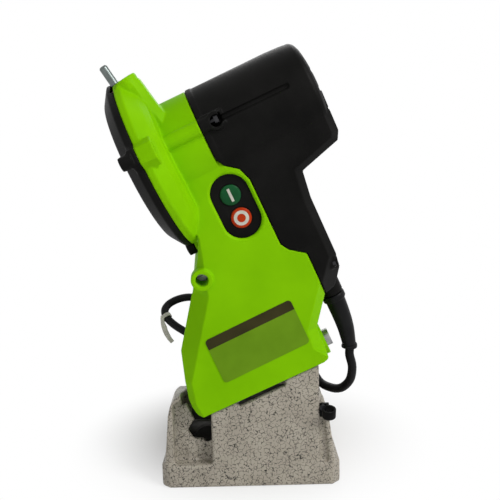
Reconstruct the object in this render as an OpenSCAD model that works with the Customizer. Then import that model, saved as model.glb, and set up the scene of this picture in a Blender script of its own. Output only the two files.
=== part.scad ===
// Saw-chain bench grinder: a swinging motor head on a hollow cast base, with a chain vise
// and a mains lead. Millimetres. The origin is the centre of the base footprint on the bench,
// +X is to the right of the switch side, +Y runs from the switch side to the vise, +Z is up.
// The head is drawn in its own frame: a along hinge and motor shaft, b across, c up the arm.

/* [Head] */
// Sideways tilt of hinge and motor shaft
tilt = 24; // [20:1:28]
// Backward lean of the head on its rest stop
lean = 8; // [6:1:10]
// Height of the motor shaft above the hinge
shaft_c = 150; // [149:0.5:151]
// Radius of the motor bucket
bucket_r = 31; // [30.5:0.1:32]
// Wall of the plastic mouldings
wall = 2.5; // [2:0.1:2.8]

/* [Disc and guard] */
// Outer radius of the disc guard
guard_r = 53.4; // [52:0.1:54.4]
// Room between the rim of the disc and the guard
disc_gap = 1.2; // [1:0.1:3]
// Grinding disc thickness
disc_t = 3.2; // [2.8:0.1:3.4]

/* [Base and vise] */
// Width of the base plinth
base_w = 115; // [113:0.5:118]
// Height of the plinth
plinth_h = 15; // [13:0.5:17]
// Half length of the vise jaws
jaw_half = 29; // [26:0.5:30]
// Gap between the closed jaws for the chain
chain_gap = 1.7; // [1.3:0.1:2]

/* [Mains lead] */
// Outer diameter of the lead
cord_d = 6; // [5.6:0.1:6]

/* [Hidden] */
$fn = 64;
hinge = [9.9, -64, 71.9];
near_b = -27;
far_b = 24;
split = 0.1;
disc_a = -4;
guard_wall = 2.2;
disc_d = 2 * (guard_r - guard_wall - disc_gap);
hole_a = -6.5;
hole_c = 79;
vise_x = -14.5;
stud_a = -1.2;
stud_b = -16;
stud_c = 200.9;
stud_lean = 8;
guard_top = 202.3;
vise_y = 48.2;
deck_z = 66;
rail_z = 115.1;
swing = 56;
start_c = 117.4;
stop_c = 102.5;
button_a = 30.8;
button_r = 6.1;
plate_r = 11.4;
plate_over = 0.9;
cord_r = cord_d / 2;

// Outlines of both housing halves on the head's a and c axes, and the green side of their seam
arm_pts = [[-46.5, -3], [-49, -1], [-49.8, 4], [-49.2, 11], [-41.3, 39], [-16, 73], [-3, 92],
  [3, 103], [3, 128], [6, 140], [6, 151], [31.9, 151], [31.9, 140], [35, 134.4], [42, 129], [44.9, 121],
  [44.9, 78], [48, 73], [56.9, 66], [56.9, 36], [43.5, 18], [42.5, 8], [42.5, -3]];
arm_in = [[-45, -12], [-46.4, 0], [-47.1, 4], [-46.5, 10.6], [-38.7, 37.6], [-13.6, 71.2], [0, 91],
  [5.6, 102.4], [5.6, 128],
  [9, 140], [9, 151], [33, 151], [33, 140], [35, 132], [40, 127], [42.4, 120],
  [42.4, 77], [47, 70.4], [54.4, 64.6], [54.4, 37], [41, 19], [39.5, 8], [39.5, -12]];
rear_pts = [[32.1, 151], [32.1, 140.1], [35.1, 134.6], [42.1, 129.2], [45.1, 121], [45.1, 78.1],
  [48.1, 73.2], [57.1, 66.2], [57.1, 36], [66, 35], [72, 42], [72.8, 50], [73, 95],
  [75, 111.4], [100.8, 118.9], [103.4, 124], [103.4, 151]];
rear_in = [[31, 151], [31, 139], [34, 133], [40, 127], [42, 120], [42, 77],
  [47, 70], [56, 63], [58.4, 62], [58.6, 38.5], [64.8, 38], [69.6, 43.2], [70.3, 50.5], [70.5, 95],
  [72.8, 114], [97.6, 121.4], [98.6, 124], [98.6, 151]];

seam_side = [[-60, -20], [-60, 140], [32, 140], [35.05, 134.5], [42.05, 129.1], [45, 121],
  [45, 78], [48.05, 73.1], [57, 66.1], [57, -20]];

// Frames and simple shapes
module head_frame() {
  translate(hinge) rotate([0, -tilt, 0]) rotate([lean, 0, 0]) children();
}
module hinge_frame() {
  translate(hinge) rotate([0, -tilt, 0]) children();
}
module across(b0, b1) {
  translate([0, b1, 0]) rotate([90, 0, 0]) linear_extrude(b1 - b0) children();
}
module along(y0, y1) {
  translate([0, y1, 0]) rotate([90, 0, 0]) linear_extrude(y1 - y0) children();
}
module rod_a(r, a0, a1, b = 0, c = 0) {
  translate([a0, b, c]) rotate([0, 90, 0]) cylinder(r = r, h = a1 - a0);
}
module rod_b(r, b0, b1, a, c) {
  translate([a, b1, c]) rotate([90, 0, 0]) cylinder(r = r, h = b1 - b0);
}
module rod_z(r, z0, z1, x, y) {
  translate([x, y, z0]) cylinder(r = r, h = z1 - z0);
}
module ring_a(r1, r0, a0, a1) {
  difference() {
    rod_a(r1, a0, a1, 0, shaft_c);
    rod_a(r0, a0 - 1, a1 + 1, 0, shaft_c);
  }
}
module hex_a(af, a0, a1, b = 0, c = 0) {
  translate([a0, b, c]) rotate([0, 90, 0]) cylinder(r = af / sqrt(3), h = a1 - a0, $fn = 6);
}
module box(x0, x1, y0, y1, z0, z1) {
  translate([x0, y0, z0]) cube([x1 - x0, y1 - y0, z1 - z0]);
}
// Slanted cut along one edge p to q of the arm's switch side, s deep both ways
module edge_cut(p, q, s) {
  d = norm(q - p);
  turn = atan2(q[1] - p[1], q[0] - p[0]);
  translate([p[0], near_b, p[1]]) rotate([0, -turn, 0]) rotate([45, 0, 0])
    translate([-30, -s * 0.7071, -40]) cube([d + 60, s * 1.4142, 80]);
}
// Pie piece across the guard between two angles, 0 is up the arm and 90 is the vise side
module guard_sector(t0, t1, r, a0, a1) {
  tm = (t0 + t1) / 2;
  translate([a0, 0, shaft_c]) rotate([0, 90, 0]) linear_extrude(a1 - a0)
    polygon([[0, 0], [-r * cos(t0), r * sin(t0)], [-1.5 * r * cos(tm), 1.5 * r * sin(tm)],
      [-r * cos(t1), r * sin(t1)]]);
}

// Base
half_w = base_w / 2;
clip_x = half_w - 7.9;
column_x = half_w - 13.2;
column_y = -89;
clip_y = -92.6;
clip_z = 47;
plan = [[-half_w, -84], [5 - half_w, -89], [half_w - 5, -89], [half_w, -84], [half_w, -14], [45, -4],
  [45, 85], [41, 89], [-44, 89], [-48, 85], [-48, -4], [-half_w, -14]];
plan_in = [[6.5 - half_w, -82], [half_w - 6.5, -82], [half_w - 6.5, -17], [40, -7], [40, 84], [-43, 84],
  [-43, -7], [6.5 - half_w, -17]];
left_rim = [[1.1 - half_w, 1], [5.2 - half_w, 47], [6.7 - half_w, 53], [9.5 - half_w, 57.5],
  [12.9 - half_w, 60.3], [-43.6, 60.6], [-43.6, 1]];
right_rim = [[half_w - 1.1, 1], [half_w - 6.9, 44], [half_w - 8.9, 52.5], [column_x, 58],
  [column_x - 4.3, 58], [column_x - 4.3, 1]];
module base_casting() color([0.62, 0.6, 0.55]) difference() {
  union() {
    difference() {
      linear_extrude(plinth_h) polygon(plan);
      translate([0, 0, -1]) linear_extrude(plinth_h + 2) polygon(plan_in);
    }
    // left shoulder: curved rim, outer wall and the recessed panel with its window
    difference() {
      along(-86.5, -12) polygon(left_rim);
      shoulder_fall(61);
      difference() {
        along(-79, -20) translate([3.6, -4]) polygon(left_rim);
        shoulder_fall(57);
      }
      box(-49, -40, -90, -80, plinth_h, 54);
      along(-90, -80) polygon([[-49, 53], [-47, 55.5], [-43, 57], [-40, 57], [-40, 20], [-49, 20]]);
    }
    // right shoulder, lower, where the lead lies
    difference() {
      along(-85.5, -12) polygon(right_rim);
      box(30, 46, -81, -16, -1, 48);
      box(30, 70, -68, -10, 45.8, 80);
    }
    along(-88.2, -85) polygon([[half_w - 2.9, 14], [half_w - 6.8, 43], [half_w - 10, 43], [half_w - 7, 14]]);
    // column panel behind the arm and the recessed panel, both cut along the hinge
    difference() {
      union() {
        box(-24.6, column_x, -87.3, -83, 1, 100);
        box(-24.6, -21, -87.3, -76, 1, 100);
        box(column_x - 3.6, column_x, -87.3, -76, 1, 100);
        box(-44, -24, -80, -76.6, 1, 100);
      }
      hinge_frame() translate([-150, -100, 3]) cube([300, 200, 100]);
      hinge_frame() rod_a(30, -54, -41);
      hinge_frame() translate([-23.4, -40, -9]) cube([34.4, 30, 60]);
    }
    // front skin of the column panel, flush with the plinth and below the arm's edge
    difference() {
      box(-24.6, column_x, column_y, -86, 1, 100);
      hinge_frame() translate([-150, -100, -7.4]) cube([300, 200, 100]);
      hinge_frame() rod_a(30, -54, -47.6);
    }
    // deck of the nose and its walls
    difference() {
      box(-46, 43, -12, 87, 1, deck_z);
      box(-42.4, 39.4, -8, 83.4, -1, deck_z - 5);
    }
    box(-46, 43, -16, -8, 1, 34);
    // ribs inside
    difference() {
      box(-47, -14, -72, -69, 1, 38);
      rod_b(11, -75, -66, -27, 23);
    }
    box(-52, 52, -20, -16, 1, 30);
    // hinge ears on the column panel
    hinge_frame() hinge_ear(-39, -27);
    difference() {
      hinge_frame() hinge_ear(21, 33);
      box(column_x, column_x + 20, -92, -40, 0, 75.6);
    }
    // stop post for the depth screw
    difference() {
      box(-15, -3, 6, 19, deck_z - 1, 104);
      hinge_frame() rotate([lean - swing, 0, 0]) translate([-40, -60, hole_c - 30])
        cube([80, 60 + far_b + 6.4, 60]);
    }
    // bench screw bosses
    for (x = [-38, 38]) for (y = [-75, 75]) rod_z(6.5, 0, 26, x, y);
    // pivot boss under the deck
    rod_z(9, deck_z - 14, deck_z, vise_x, vise_y);
  }
  for (x = [-38, 38]) for (y = [-75, 75]) rod_z(3.4, -1, 20, x, y);
  rod_z(3.4, deck_z - 12, deck_z + 1, vise_x, vise_y);
  hinge_frame() rod_a(4, -60, 60);
  // six-sided window in the recessed panel
  along(-82, -74) polygon([[-40.5, 35], [-36.5, 41], [-26, 41], [-26, 29], [-36.5, 29]]);
  // screw hole of the cord clip
  rod_b(1.4, -90, -78, clip_x - 3.2, 51.3);
}
// Space above the left shoulder, which falls towards the back
module shoulder_fall(z) {
  translate([-70, -84, z]) rotate([-15, 0, 0]) cube([40, 110, 60]);
}
module hinge_ear(a0, a1) {
  difference() {
    translate([a0, 0, 0]) rotate([0, 90, 0]) linear_extrude(a1 - a0) union() {
      circle(r = 11.5);
      polygon([[3, -20], [8, -20], [26, -20], [26, 4], [6, 9.8], [0, 11.5], [-8, -8.2], [-4, -14]]);
    }
    rod_a(4, a0 - 1, a1 + 1);
  }
}
module hinge_bolt() color([0.7, 0.7, 0.72]) hinge_frame() {
  rod_a(3.98, -53, 43.9);
  difference() {
    rod_a(5.6, 43.9, 48.3);
    hex_a(5, 45.8, 50);
  }
}
module hinge_washers() color([0.75, 0.75, 0.76]) hinge_frame() {
  for (a = [-46.95, 42.65]) difference() {
    rod_a(7.4, a, a + 1.2);
    rod_a(4.05, a - 1, a + 3);
  }
}
module hinge_nut() color([0.68, 0.68, 0.7]) hinge_frame() difference() {
  hex_a(12, -52, -47);
  rod_a(3.98, -54, -45);
}

// Return spring: one wire wound round the hinge bolt, with a leg to base and head
spring_wire = 2.2;
spring_turns = 8.25;
spring_rings = spring_turns * 8;
spring_mid_r = 7.6;
function spring_point(i) = let (t = 360 * i / 8, f = i / spring_rings)
  [-22 + 40 * f, spring_mid_r * cos(t + 270), spring_mid_r * sin(t + 270)];
spring_path = concat([[-22, -21.5, -7.6], [-22, -7, -7.6]], [for (i = [0:spring_rings]) spring_point(i)],
  [[18, 7.6, 8], [18, 7.6, 24]]);
module return_spring() color([0.6, 0.6, 0.62]) hinge_frame() tube(spring_path, spring_wire / 2, 6);

// Tube along a path with one flat end at each side; sides are laid without twist
function unit(v) = v / max(norm(v), 1e-9);
function path_dir(p, i) = unit(p[min(i + 1, len(p) - 1)] - p[max(i - 1, 0)]);
function first_normal(d) = unit(cross(d, abs(d[2]) < 0.8 ? [0, 0, 1] : [1, 0, 0]));
function carried(p, i, n) = let (d = path_dir(p, i)) unit(n - d * (n * d));
function normals(p, i = 0, n = [0, 0, 0]) = i >= len(p) ? [] :
  let (m = i == 0 ? first_normal(path_dir(p, 0)) : carried(p, i, n)) concat([m], normals(p, i + 1, m));
module tube(path, r, sides) {
  n = normals(path);
  last = len(path) - 1;
  points = [for (i = [0:last]) let (d = path_dir(path, i), u = n[i], v = cross(d, u))
    for (k = [0:sides - 1]) path[i] + r * (u * cos(360 * k / sides) + v * sin(360 * k / sides))];
  skin = [for (i = [0:last - 1]) for (k = [0:sides - 1]) for (h = [0, 1])
    let (p = i * sides + k, q = i * sides + (k + 1) % sides)
    h == 0 ? [p, p + sides, q] : [q, p + sides, q + sides]];
  start = [for (k = [1:sides - 2]) [0, k, k + 1]];
  finish = [for (k = [1:sides - 2]) [last * sides, last * sides + k + 1, last * sides + k]];
  polyhedron(points, concat(skin, start, finish));
}

// Clip for the lead on the base's right shoulder
module cord_clip() color([0.1, 0.1, 0.1]) difference() {
  union() {
    rod_z(4.6, clip_z - 2, clip_z + 2, clip_x, clip_y);
    box(clip_x - 5.1, clip_x + 0.8, -88, -85.6, clip_z - 2, clip_z + 6.6);
    box(clip_x - 3.4, clip_x + 3.4, clip_y + 1, -86, clip_z - 2, clip_z + 2);
  }
  rod_z(3.1, clip_z - 3, clip_z + 3, clip_x, clip_y);
  rod_b(1.7, -90, -84, clip_x - 3.2, 51.3);
}
module clip_screw() color([0.72, 0.72, 0.74]) {
  rod_b(1.9, -89.5, -88.1, clip_x - 3.2, 51.3);
  rod_b(1.4, -88.1, -80, clip_x - 3.2, 51.3);
}

// Vise
table_half = jaw_half - 10;
jaw_screw_x = jaw_half - 17;
pawl_x = vise_x - jaw_half + 5;
module vise_table() color([0.55, 0.56, 0.57]) difference() {
  union() {
    rod_z(21, deck_z + 0.3, deck_z + 6, vise_x, vise_y);
    box(vise_x - 7, vise_x + 7, vise_y, vise_y + 30, deck_z + 0.3, deck_z + 6);
    rod_z(7, deck_z + 0.3, deck_z + 6, vise_x, vise_y + 30);
    box(vise_x - table_half, vise_x + table_half, vise_y - 12.2, vise_y - 6.3, deck_z + 5, 112);
    box(vise_x - table_half, vise_x + table_half, vise_y - 12.2, vise_y + 9, deck_z + 5, 92);
  }
  rod_z(4.05, deck_z - 1, deck_z + 20, vise_x, vise_y);
  rod_z(7, deck_z + 8, 95, vise_x, vise_y);
  rod_z(3.05, deck_z - 1, deck_z + 10, vise_x, vise_y + 30);
  for (x = [-jaw_screw_x, jaw_screw_x]) rod_b(2.1, vise_y - 14, vise_y - 5, vise_x + x, 106);
  rod_b(3.2, vise_y - 14, vise_y - 5, vise_x, 99);
}
module vise_pivot_bolt() color([0.7, 0.7, 0.72]) {
  rod_z(3.38, deck_z - 11, deck_z, vise_x, vise_y);
  rod_z(4, deck_z, deck_z + 8.3, vise_x, vise_y);
  difference() {
    rod_z(6.6, deck_z + 8.3, deck_z + 13, vise_x, vise_y);
    translate([vise_x, vise_y, deck_z + 10]) cylinder(r = 3.4, h = 5, $fn = 6);
  }
}
module table_lock_knob() color([0.09, 0.09, 0.1]) {
  rod_z(3, deck_z + 0.4, deck_z + 7, vise_x, vise_y + 30);
  difference() {
    rod_z(8.5, deck_z + 6.4, deck_z + 17, vise_x, vise_y + 30);
    for (t = [0:45:315])
      rod_z(1.6, deck_z + 6, deck_z + 18, vise_x + 9.2 * cos(t), vise_y + 30 + 9.2 * sin(t));
  }
}
module jaw(y0, y1) {
  along(y0, y1) polygon([[vise_x - jaw_half, 95], [vise_x - jaw_half + 3, 92.4],
    [vise_x + jaw_half - 3, 92.4], [vise_x + jaw_half, 95], [vise_x + jaw_half, rail_z - 1.5],
    [vise_x + jaw_half - 1.5, rail_z], [vise_x - jaw_half + 1.5, rail_z],
    [vise_x - jaw_half, rail_z - 1.5]]);
}
module fixed_jaw() color([0.66, 0.67, 0.68]) difference() {
  jaw(vise_y - 6.2, vise_y - chain_gap / 2);
  for (x = [-jaw_screw_x, jaw_screw_x]) rod_b(2, vise_y - 8, vise_y - 3, vise_x + x, 106);
  rod_b(3, vise_y - 8, vise_y, vise_x, 99);
  for (x = [-2, 2]) rod_b(1.2, vise_y - 8, vise_y - 3, pawl_x + x, 98);
}
module jaw_screws() color([0.72, 0.72, 0.74]) for (x = [-jaw_screw_x, jaw_screw_x]) {
  rod_b(2, vise_y - 12.3, vise_y - 3, vise_x + x, 106);
  rod_b(3.6, vise_y - 14.8, vise_y - 12.3, vise_x + x, 106);
}
module moving_jaw() color([0.66, 0.67, 0.68]) difference() {
  jaw(vise_y + chain_gap / 2, vise_y + 6.2);
  rod_b(3.06, vise_y, vise_y + 8, vise_x, 99);
}
module clamp_bolt() color([0.7, 0.7, 0.72]) {
  rod_b(3, vise_y - 13, vise_y + 22, vise_x, 99);
  rod_b(5, vise_y - 16, vise_y - 12.4, vise_x, 99);
}
module clamp_lever() color([0.1, 0.1, 0.11]) difference() {
  union() {
    rod_b(6.5, vise_y + 9.2, vise_y + 20, vise_x, 99);
    translate([vise_x, vise_y + 16.5, 99]) rotate([0, 90, 0]) cylinder(r = 3, h = 26);
    translate([vise_x + 30, vise_y + 16.5, 99]) sphere(r = 5.4);
  }
  rod_b(3.05, vise_y, vise_y + 30, vise_x, 99);
}
module pawl_bracket() color([0.72, 0.72, 0.74]) {
  difference() {
    box(pawl_x - 4, pawl_x + 4, vise_y - 8.2, vise_y - 6.3, 95, 124);
    rod_b(1.5, vise_y - 9, vise_y - 5, pawl_x, 120.5);
  }
  for (x = [-2, 2]) rod_b(1.2, vise_y - 8.2, vise_y - 3.2, pawl_x + x, 98);
}
module pawl_pin() color([0.7, 0.7, 0.72]) {
  rod_b(1.5, vise_y - 8.2, vise_y + 3.2, pawl_x, 120.5);
  rod_b(2.6, vise_y + 3.2, vise_y + 4.4, pawl_x, 120.5);
}
module chain_pawl() color([0.8, 0.8, 0.8]) difference() {
  union() {
    rod_b(3, vise_y - 2.6, vise_y + 2.8, pawl_x, 120.5);
    along(vise_y - 1.6, vise_y + 1.6) polygon([[pawl_x, 117.7], [pawl_x + 12, 117.2],
      [pawl_x + 13, 118.6], [pawl_x + 1, 123]]);
    along(vise_y - 1.6, vise_y + 1.6) polygon([[pawl_x, 123.4], [pawl_x - 2.6, 121.5],
      [pawl_x - 3.5, 125], [pawl_x - 2, 126]]);
  }
  rod_b(1.55, vise_y - 4, vise_y + 4, pawl_x, 120.5);
}

// Head
module arm_housing() color([0.45, 0.72, 0.02]) head_frame() difference() {
  union() {
    difference() {
      union() {
        across(near_b, far_b) polygon(arm_pts);
        rod_a(bucket_r, 6, 31.9, 0, shaft_c);
      }
      across(near_b + 2.6, far_b - 2.6) polygon(arm_in);
      rod_a(bucket_r - wall, 9, 50, 0, shaft_c);
      slanted_edges();
    }
    slanted_skins();
    // disc guard, open towards the vise
    difference() {
      rod_a(guard_r, disc_a + 1, 6.5, 0, shaft_c);
      rod_a(guard_r - guard_wall, disc_a - 5, 4, 0, shaft_c);
      guard_sector(86, 174, 70, -12, 6.6);
      translate([-12, -20, guard_top]) cube([20, 40, 10]);
    }
    rod_a(22, 4, 9, 0, shaft_c);
    // bearing seat, screw lugs, handle boss, stop boss
    rod_a(15.5, 6, 18.2, 0, shaft_c);
    guard_lugs(disc_a + 1, 7);
    across(stud_b - 7, stud_b + 7)
      polygon([[-4.8, 190], [-4.8, stud_c], [10.4, stud_c], [15.4, 176], [6, 176], [4, 190]]);
    rod_b(7.2, near_b - 2.4, -6, hole_a, hole_c);
    rod_b(5.6, -7, far_b, hole_a, hole_c);
    // hinge bosses inside the end walls
    rod_a(10.5, -49, -41);
    rod_a(10.2, 36, 44.6);
    // seat for the spring's leg
    translate([16, near_b + 1, 19]) cube([4, 8.6 - near_b - 1, 6]);
    // pillars for the long screws of the motor half
    for (b = [-20, 20]) rod_a(4, 44, 56.8, b, 52);
    for (p = screw_bc) rod_a(4.6, 22, 31.9, p[0], p[1]);
  }
  rod_a(8, -20, 40, 0, shaft_c);
  rod_a(13, 9.9, 40, 0, shaft_c);
  rod_a(guard_r - guard_wall, disc_a - 5, 4, 0, shaft_c);
  // far lower corner stays open so that the head can swing down
  translate([-60, 10, -20]) cube([130, 40, 34]);
  rod_a(5.5, -60, 60);
  rod_a(8.2, -60, -45.6);
  rod_a(7.8, 42.4, 60);
  // bore for the depth screw, wide on the switch side
  rod_b(3.9, near_b - 5, -9, hole_a, hole_c);
  rod_b(3, -14, far_b + 5, hole_a, hole_c);
  for (t = lug_at) lug_hole(t, 1.5, disc_a, 8);
  lug_hole(186, 5.1, -14, disc_a + 1);
  translate([61.6, 0, 15]) cylinder(r = 6.3, h = 28);
  stud_frame() cylinder(r = 2, h = 30, center = true);
  // seat of the switch frame
  switch_pocket(0.15, near_b - 1, near_b + 4);
  for (p = screw_bc) rod_a(1.6, 24, 34, p[0], p[1]);
  for (b = [-20, 20]) rod_a(1.6, 45, 58, b, 52);
}
// Three slanted edges of the arm's switch side: both ends and depth
slanted = [[[-49.8, -30], [-49.8, 4], 4.2], [[-49.2, 11], [-41.3, 39], 4.2], [[-41.3, 39], [-16, 73], 10]];
module slanted_edges() {
  for (e = slanted) edge_cut(e[0], e[1], e[2]);
}
// Sloping skins that close the arm behind its three slanted edges
module slanted_skins() {
  intersection() {
    across(near_b, -14) polygon(arm_pts);
    union() {
      for (e = slanted) slant(e[0], e[1], e[2]);
    }
    difference() {
      across(near_b, -13) polygon(arm_pts);
      slanted_edges();
    }
  }
}
module slant(p, q, s) {
  d = norm(q - p);
  turn = atan2(q[1] - p[1], q[0] - p[0]);
  translate([p[0], near_b, p[1]]) rotate([0, -turn, 0]) rotate([45, 0, 0])
    translate([-14, s * 0.7071, -20]) cube([d + 28, 3, 40]);
}
lug_at = [40, 282, 186];
module lug(t, r, a0, a1) {
  rod_a(r, a0, a1, guard_r * sin(t), shaft_c + guard_r * cos(t));
}
module lug_hole(t, r, a0, a1) {
  rod_a(r, a0, a1, (guard_r + 1.5) * sin(t), shaft_c + (guard_r + 1.5) * cos(t));
}
module guard_lugs(a0, a1) {
  difference() {
    for (t = lug_at) rod_a(4.8, a0, a1, (guard_r + 1.5) * sin(t), shaft_c + (guard_r + 1.5) * cos(t));
    rod_a(guard_r - guard_wall, a0 - 1, a1 + 1, 0, shaft_c);
  }
}
screw_bc = [[-29.8, 160.5], [29.8, 160.5]];
module switch_pocket(gap, b0, b1) {
  for (c = [start_c + plate_over, stop_c - plate_over]) rod_b(plate_r + gap, b0, b1, button_a, c);
  across(b0, b1) translate([button_a - plate_r - gap, stop_c - plate_over])
    square([2 * (plate_r + gap), start_c - stop_c + 2 * plate_over]);
}
module hinge_bushes() color([0.75, 0.62, 0.35]) head_frame() {
  for (a = [[-45.5, -41], [35.8, 42.4]]) difference() {
    rod_a(5.48, a[0], a[1]);
    rod_a(4.05, a[0] - 1, a[1] + 1);
  }
}
module motor_housing() color([0.07, 0.07, 0.075]) head_frame() difference() {
  union() {
    difference() {
      union() {
        across(near_b, far_b) polygon(rear_pts);
        rod_a(bucket_r, 32.1, 99.5, 0, shaft_c);
        rod_a(bucket_r - 1.6, 97, 103.8, 0, shaft_c);
      }
      across(near_b + 2.6, far_b - 2.6) polygon(rear_in);
      rod_a(bucket_r - wall, 31, 99.4, 0, shaft_c);
      rear_edge_cut();
    }
    rear_skin();
    // bearing seat in the end wall and the socket of the lead
    difference() {
      rod_a(14, 83, 101, 0, shaft_c);
      rod_a(11, 82, 92, 0, shaft_c);
    }
    intersection() {
      translate([61.6, 0, 26.5]) cylinder(r = 8, h = 13);
      translate([50, -20, 26.5]) cube([40, 40, 12.5]);
    }
    // screw channel on the switch side, with its half-round end
    for (p = screw_bc) rod_a(4.8, 32.1, 46.5, p[0], p[1]);
    for (b = [-20, 20]) rod_a(4, 57, 72, b, 52);
  }
  rod_a(11, 82, 92, 0, shaft_c);
  translate([61.6, 0, 20]) cylinder(r = 6.05, h = 20.5);
  for (p = screw_bc) {
    rod_a(1.9, 30, 46, p[0], p[1]);
    rod_a(3.4, 41, 47, p[0], p[1]);
    rod_a(1.7, 46, 86, p[0] * 1.04, p[1] + 0.4);
  }
  for (b = [-20, 20]) rod_a(1.9, 50, 80, b, 52);
  for (b = [-20, 20]) rod_a(3.6, 68, 80, b, 52);
  across(-45, 45) polygon(seam_side);
  for (b = [-6.6, 6.6]) rod_a(1.5, 57.8, 62, b, 47);
  // cooling slots round the end wall
  for (t = [0:30:330]) translate([98, 0, shaft_c]) rotate([t, 0, 0])
    translate([0, -1.2, 17]) cube([8, 2.4, 8.5]);
}
module rear_edge_cut() {
  edge_cut_right([72.9, 40], [73, 110], 5.5);
}
module edge_cut_right(p, q, s) {
  d = norm(q - p);
  turn = atan2(q[1] - p[1], q[0] - p[0]);
  translate([p[0], near_b, p[1]]) rotate([0, -turn, 0]) rotate([-45, 0, 0])
    translate([-12, -s * 0.7071, -40]) cube([d + 12, s * 1.4142, 80]);
}
module rear_skin() {
  intersection() {
    across(near_b, -16) polygon(rear_pts);
    translate([72.9, near_b, 40]) rotate([0, -90, 0]) rotate([-45, 0, 0])
      translate([-12, 3.9, -20]) cube([84, 2.6, 40]);
  }
}
module housing_screws() color([0.7, 0.7, 0.72]) head_frame() {
  for (p = screw_bc) {
    rod_a(1.6, 24, 41.1, p[0], p[1]);
    rod_a(3.2, 41.1, 43.4, p[0], p[1]);
  }
  for (b = [-20, 20]) {
    rod_a(1.6, 45, 68, b, 52);
    rod_a(3.2, 68, 70.4, b, 52);
  }
}
module guard_cover() color([0.06, 0.06, 0.065]) head_frame() difference() {
  union() {
    rod_a(guard_r, -9.4, disc_a + 0.9, 0, shaft_c);
    translate([-13.5, 0, shaft_c]) rotate([0, 90, 0]) cylinder(r1 = guard_r - 5, r2 = guard_r, h = 4.1);
    guard_lugs(-8, disc_a + 0.9);
  }
  rod_a(guard_r - guard_wall, -9.4, disc_a + 2, 0, shaft_c);
  translate([-11.2, 0, shaft_c]) rotate([0, 90, 0])
    cylinder(r1 = guard_r - 7, r2 = guard_r - guard_wall, h = 1.9);
  guard_sector(86, 174, 70, -20, 3);
  for (t = lug_at) lug_hole(t, 1.7, -14, 3);
  for (t = lug_at) lug_hole(t, 3.1, -20, -6.4);
  across(stud_b - 7.3, stud_b + 7.3) translate([-5.1, 190]) square([6, 20]);
  translate([-20, -20, guard_top]) cube([30, 40, 10]);
}
module guard_screws() color([0.66, 0.66, 0.68]) head_frame() for (t = lug_at) {
  lug_hole(t, 1.48, -6.4, 5);
  lug_hole(t, 2.9, -8.6, -6.4);
}
module handle_stud() color([0.7, 0.7, 0.72]) head_frame() {
  stud_frame() translate([0, 0, -1.6]) cylinder(r = 1.98, h = 3.8);
  stud_frame() translate([0, 0, 2]) cylinder(r = 2.5, h = 10);
}
module stud_frame() {
  translate([stud_a, stud_b, stud_c]) rotate([0, -stud_lean, 0]) children();
}
module label_plate() color([0.34, 0.46, 0.06]) head_frame() across(near_b - 0.35, near_b)
  polygon([[-23.4, 12.2], [35.6, 13.6], [35.8, 44.4], [-22.4, 43.2]]);
module switch_bezel() color([0.05, 0.05, 0.055]) head_frame() difference() {
  switch_pocket(0, near_b + 0.8, near_b + 3.8);
  for (c = [start_c, stop_c]) rod_b(button_r + 0.3, near_b - 2, near_b + 6, button_a, c);
}
module switch_body() color([0.12, 0.12, 0.13]) head_frame() difference() {
  across(near_b + 4, -6) translate([button_a - 9.2, stop_c - 9]) square([18.4, start_c - stop_c + 16]);
  for (c = [start_c, stop_c]) {
    rod_b(5.2, near_b + 3, near_b + 13, button_a, c);
    rod_b(button_r + 0.4, near_b + 3, near_b + 6.4, button_a, c);
  }
}
module button(c) {
  rod_b(button_r, near_b - 0.6, near_b + 3.2, button_a, c);
  rod_b(4.9, near_b + 3.2, near_b + 9.4, button_a, c);
}
module start_button() color([0.06, 0.3, 0.14]) head_frame() button(start_c);
module stop_button() color([0.7, 0.16, 0.03]) head_frame() button(stop_c);
module depth_stop_screw() color([0.7, 0.7, 0.72]) head_frame() {
  rod_b(2.95, -12.5, far_b + 6, hole_a, hole_c);
  difference() {
    rod_b(3.7, -17, -12.5, hole_a, hole_c);
    across(-18, -15.6) translate([hole_a - 3.8, hole_c - 0.5]) square([7.6, 1]);
  }
}
module depth_stop_nut() color([0.68, 0.68, 0.7]) head_frame() difference() {
  translate([hole_a, far_b + 3.3, hole_c]) rotate([90, 0, 0]) cylinder(r = 5.8, h = 3.2, $fn = 6);
  rod_b(3, far_b - 2, far_b + 8, hole_a, hole_c);
}

// Motor and disc
module front_bearing() color([0.6, 0.6, 0.62]) head_frame() ring_a(12.98, 5.04, 9.95, 17.9);
module rear_bearing() color([0.6, 0.6, 0.62]) head_frame() ring_a(10.98, 4.04, 84, 91);
module stator_core() color([0.4, 0.4, 0.42]) head_frame() difference() {
  rod_a(27.6, 46.7, 68, 0, shaft_c);
  rod_a(16.4, 46, 70, 0, shaft_c);
}
module field_coils() color([0.6, 0.3, 0.12]) head_frame() difference() {
  union() {
    ring_a(24, 17, 40.4, 46.6);
    ring_a(24, 17, 68.1, 72.4);
  }
  translate([30, -30, shaft_c - 5]) cube([50, 60, 10]);
}
module brush_holders() color([0.65, 0.52, 0.22]) head_frame() for (s = [-1, 1]) difference() {
  translate([73.5, -4.5, shaft_c + (s > 0 ? 12 : -27.5)]) cube([7, 9, 15.5]);
  translate([74.9, -3.1, shaft_c - 30]) cube([4.2, 6.2, 60]);
}
module carbon_brushes() color([0.12, 0.12, 0.12]) head_frame() for (s = [-1, 1])
  translate([75, -3, shaft_c + (s > 0 ? 9.1 : -21.1)]) cube([4, 6, 12]);
module motor_shaft() color([0.72, 0.72, 0.74]) head_frame() {
  rod_a(5, -10.8, 74, 0, shaft_c);
  rod_a(4, 74, 92, 0, shaft_c);
}
module rotor_core() color([0.42, 0.42, 0.44]) head_frame() ring_a(15.6, 5, 47, 67.6);
module rotor_windings() color([0.62, 0.32, 0.13]) head_frame() {
  ring_a(13.5, 5, 41.5, 46.9);
  ring_a(13.5, 5, 67.7, 72);
}
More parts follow.
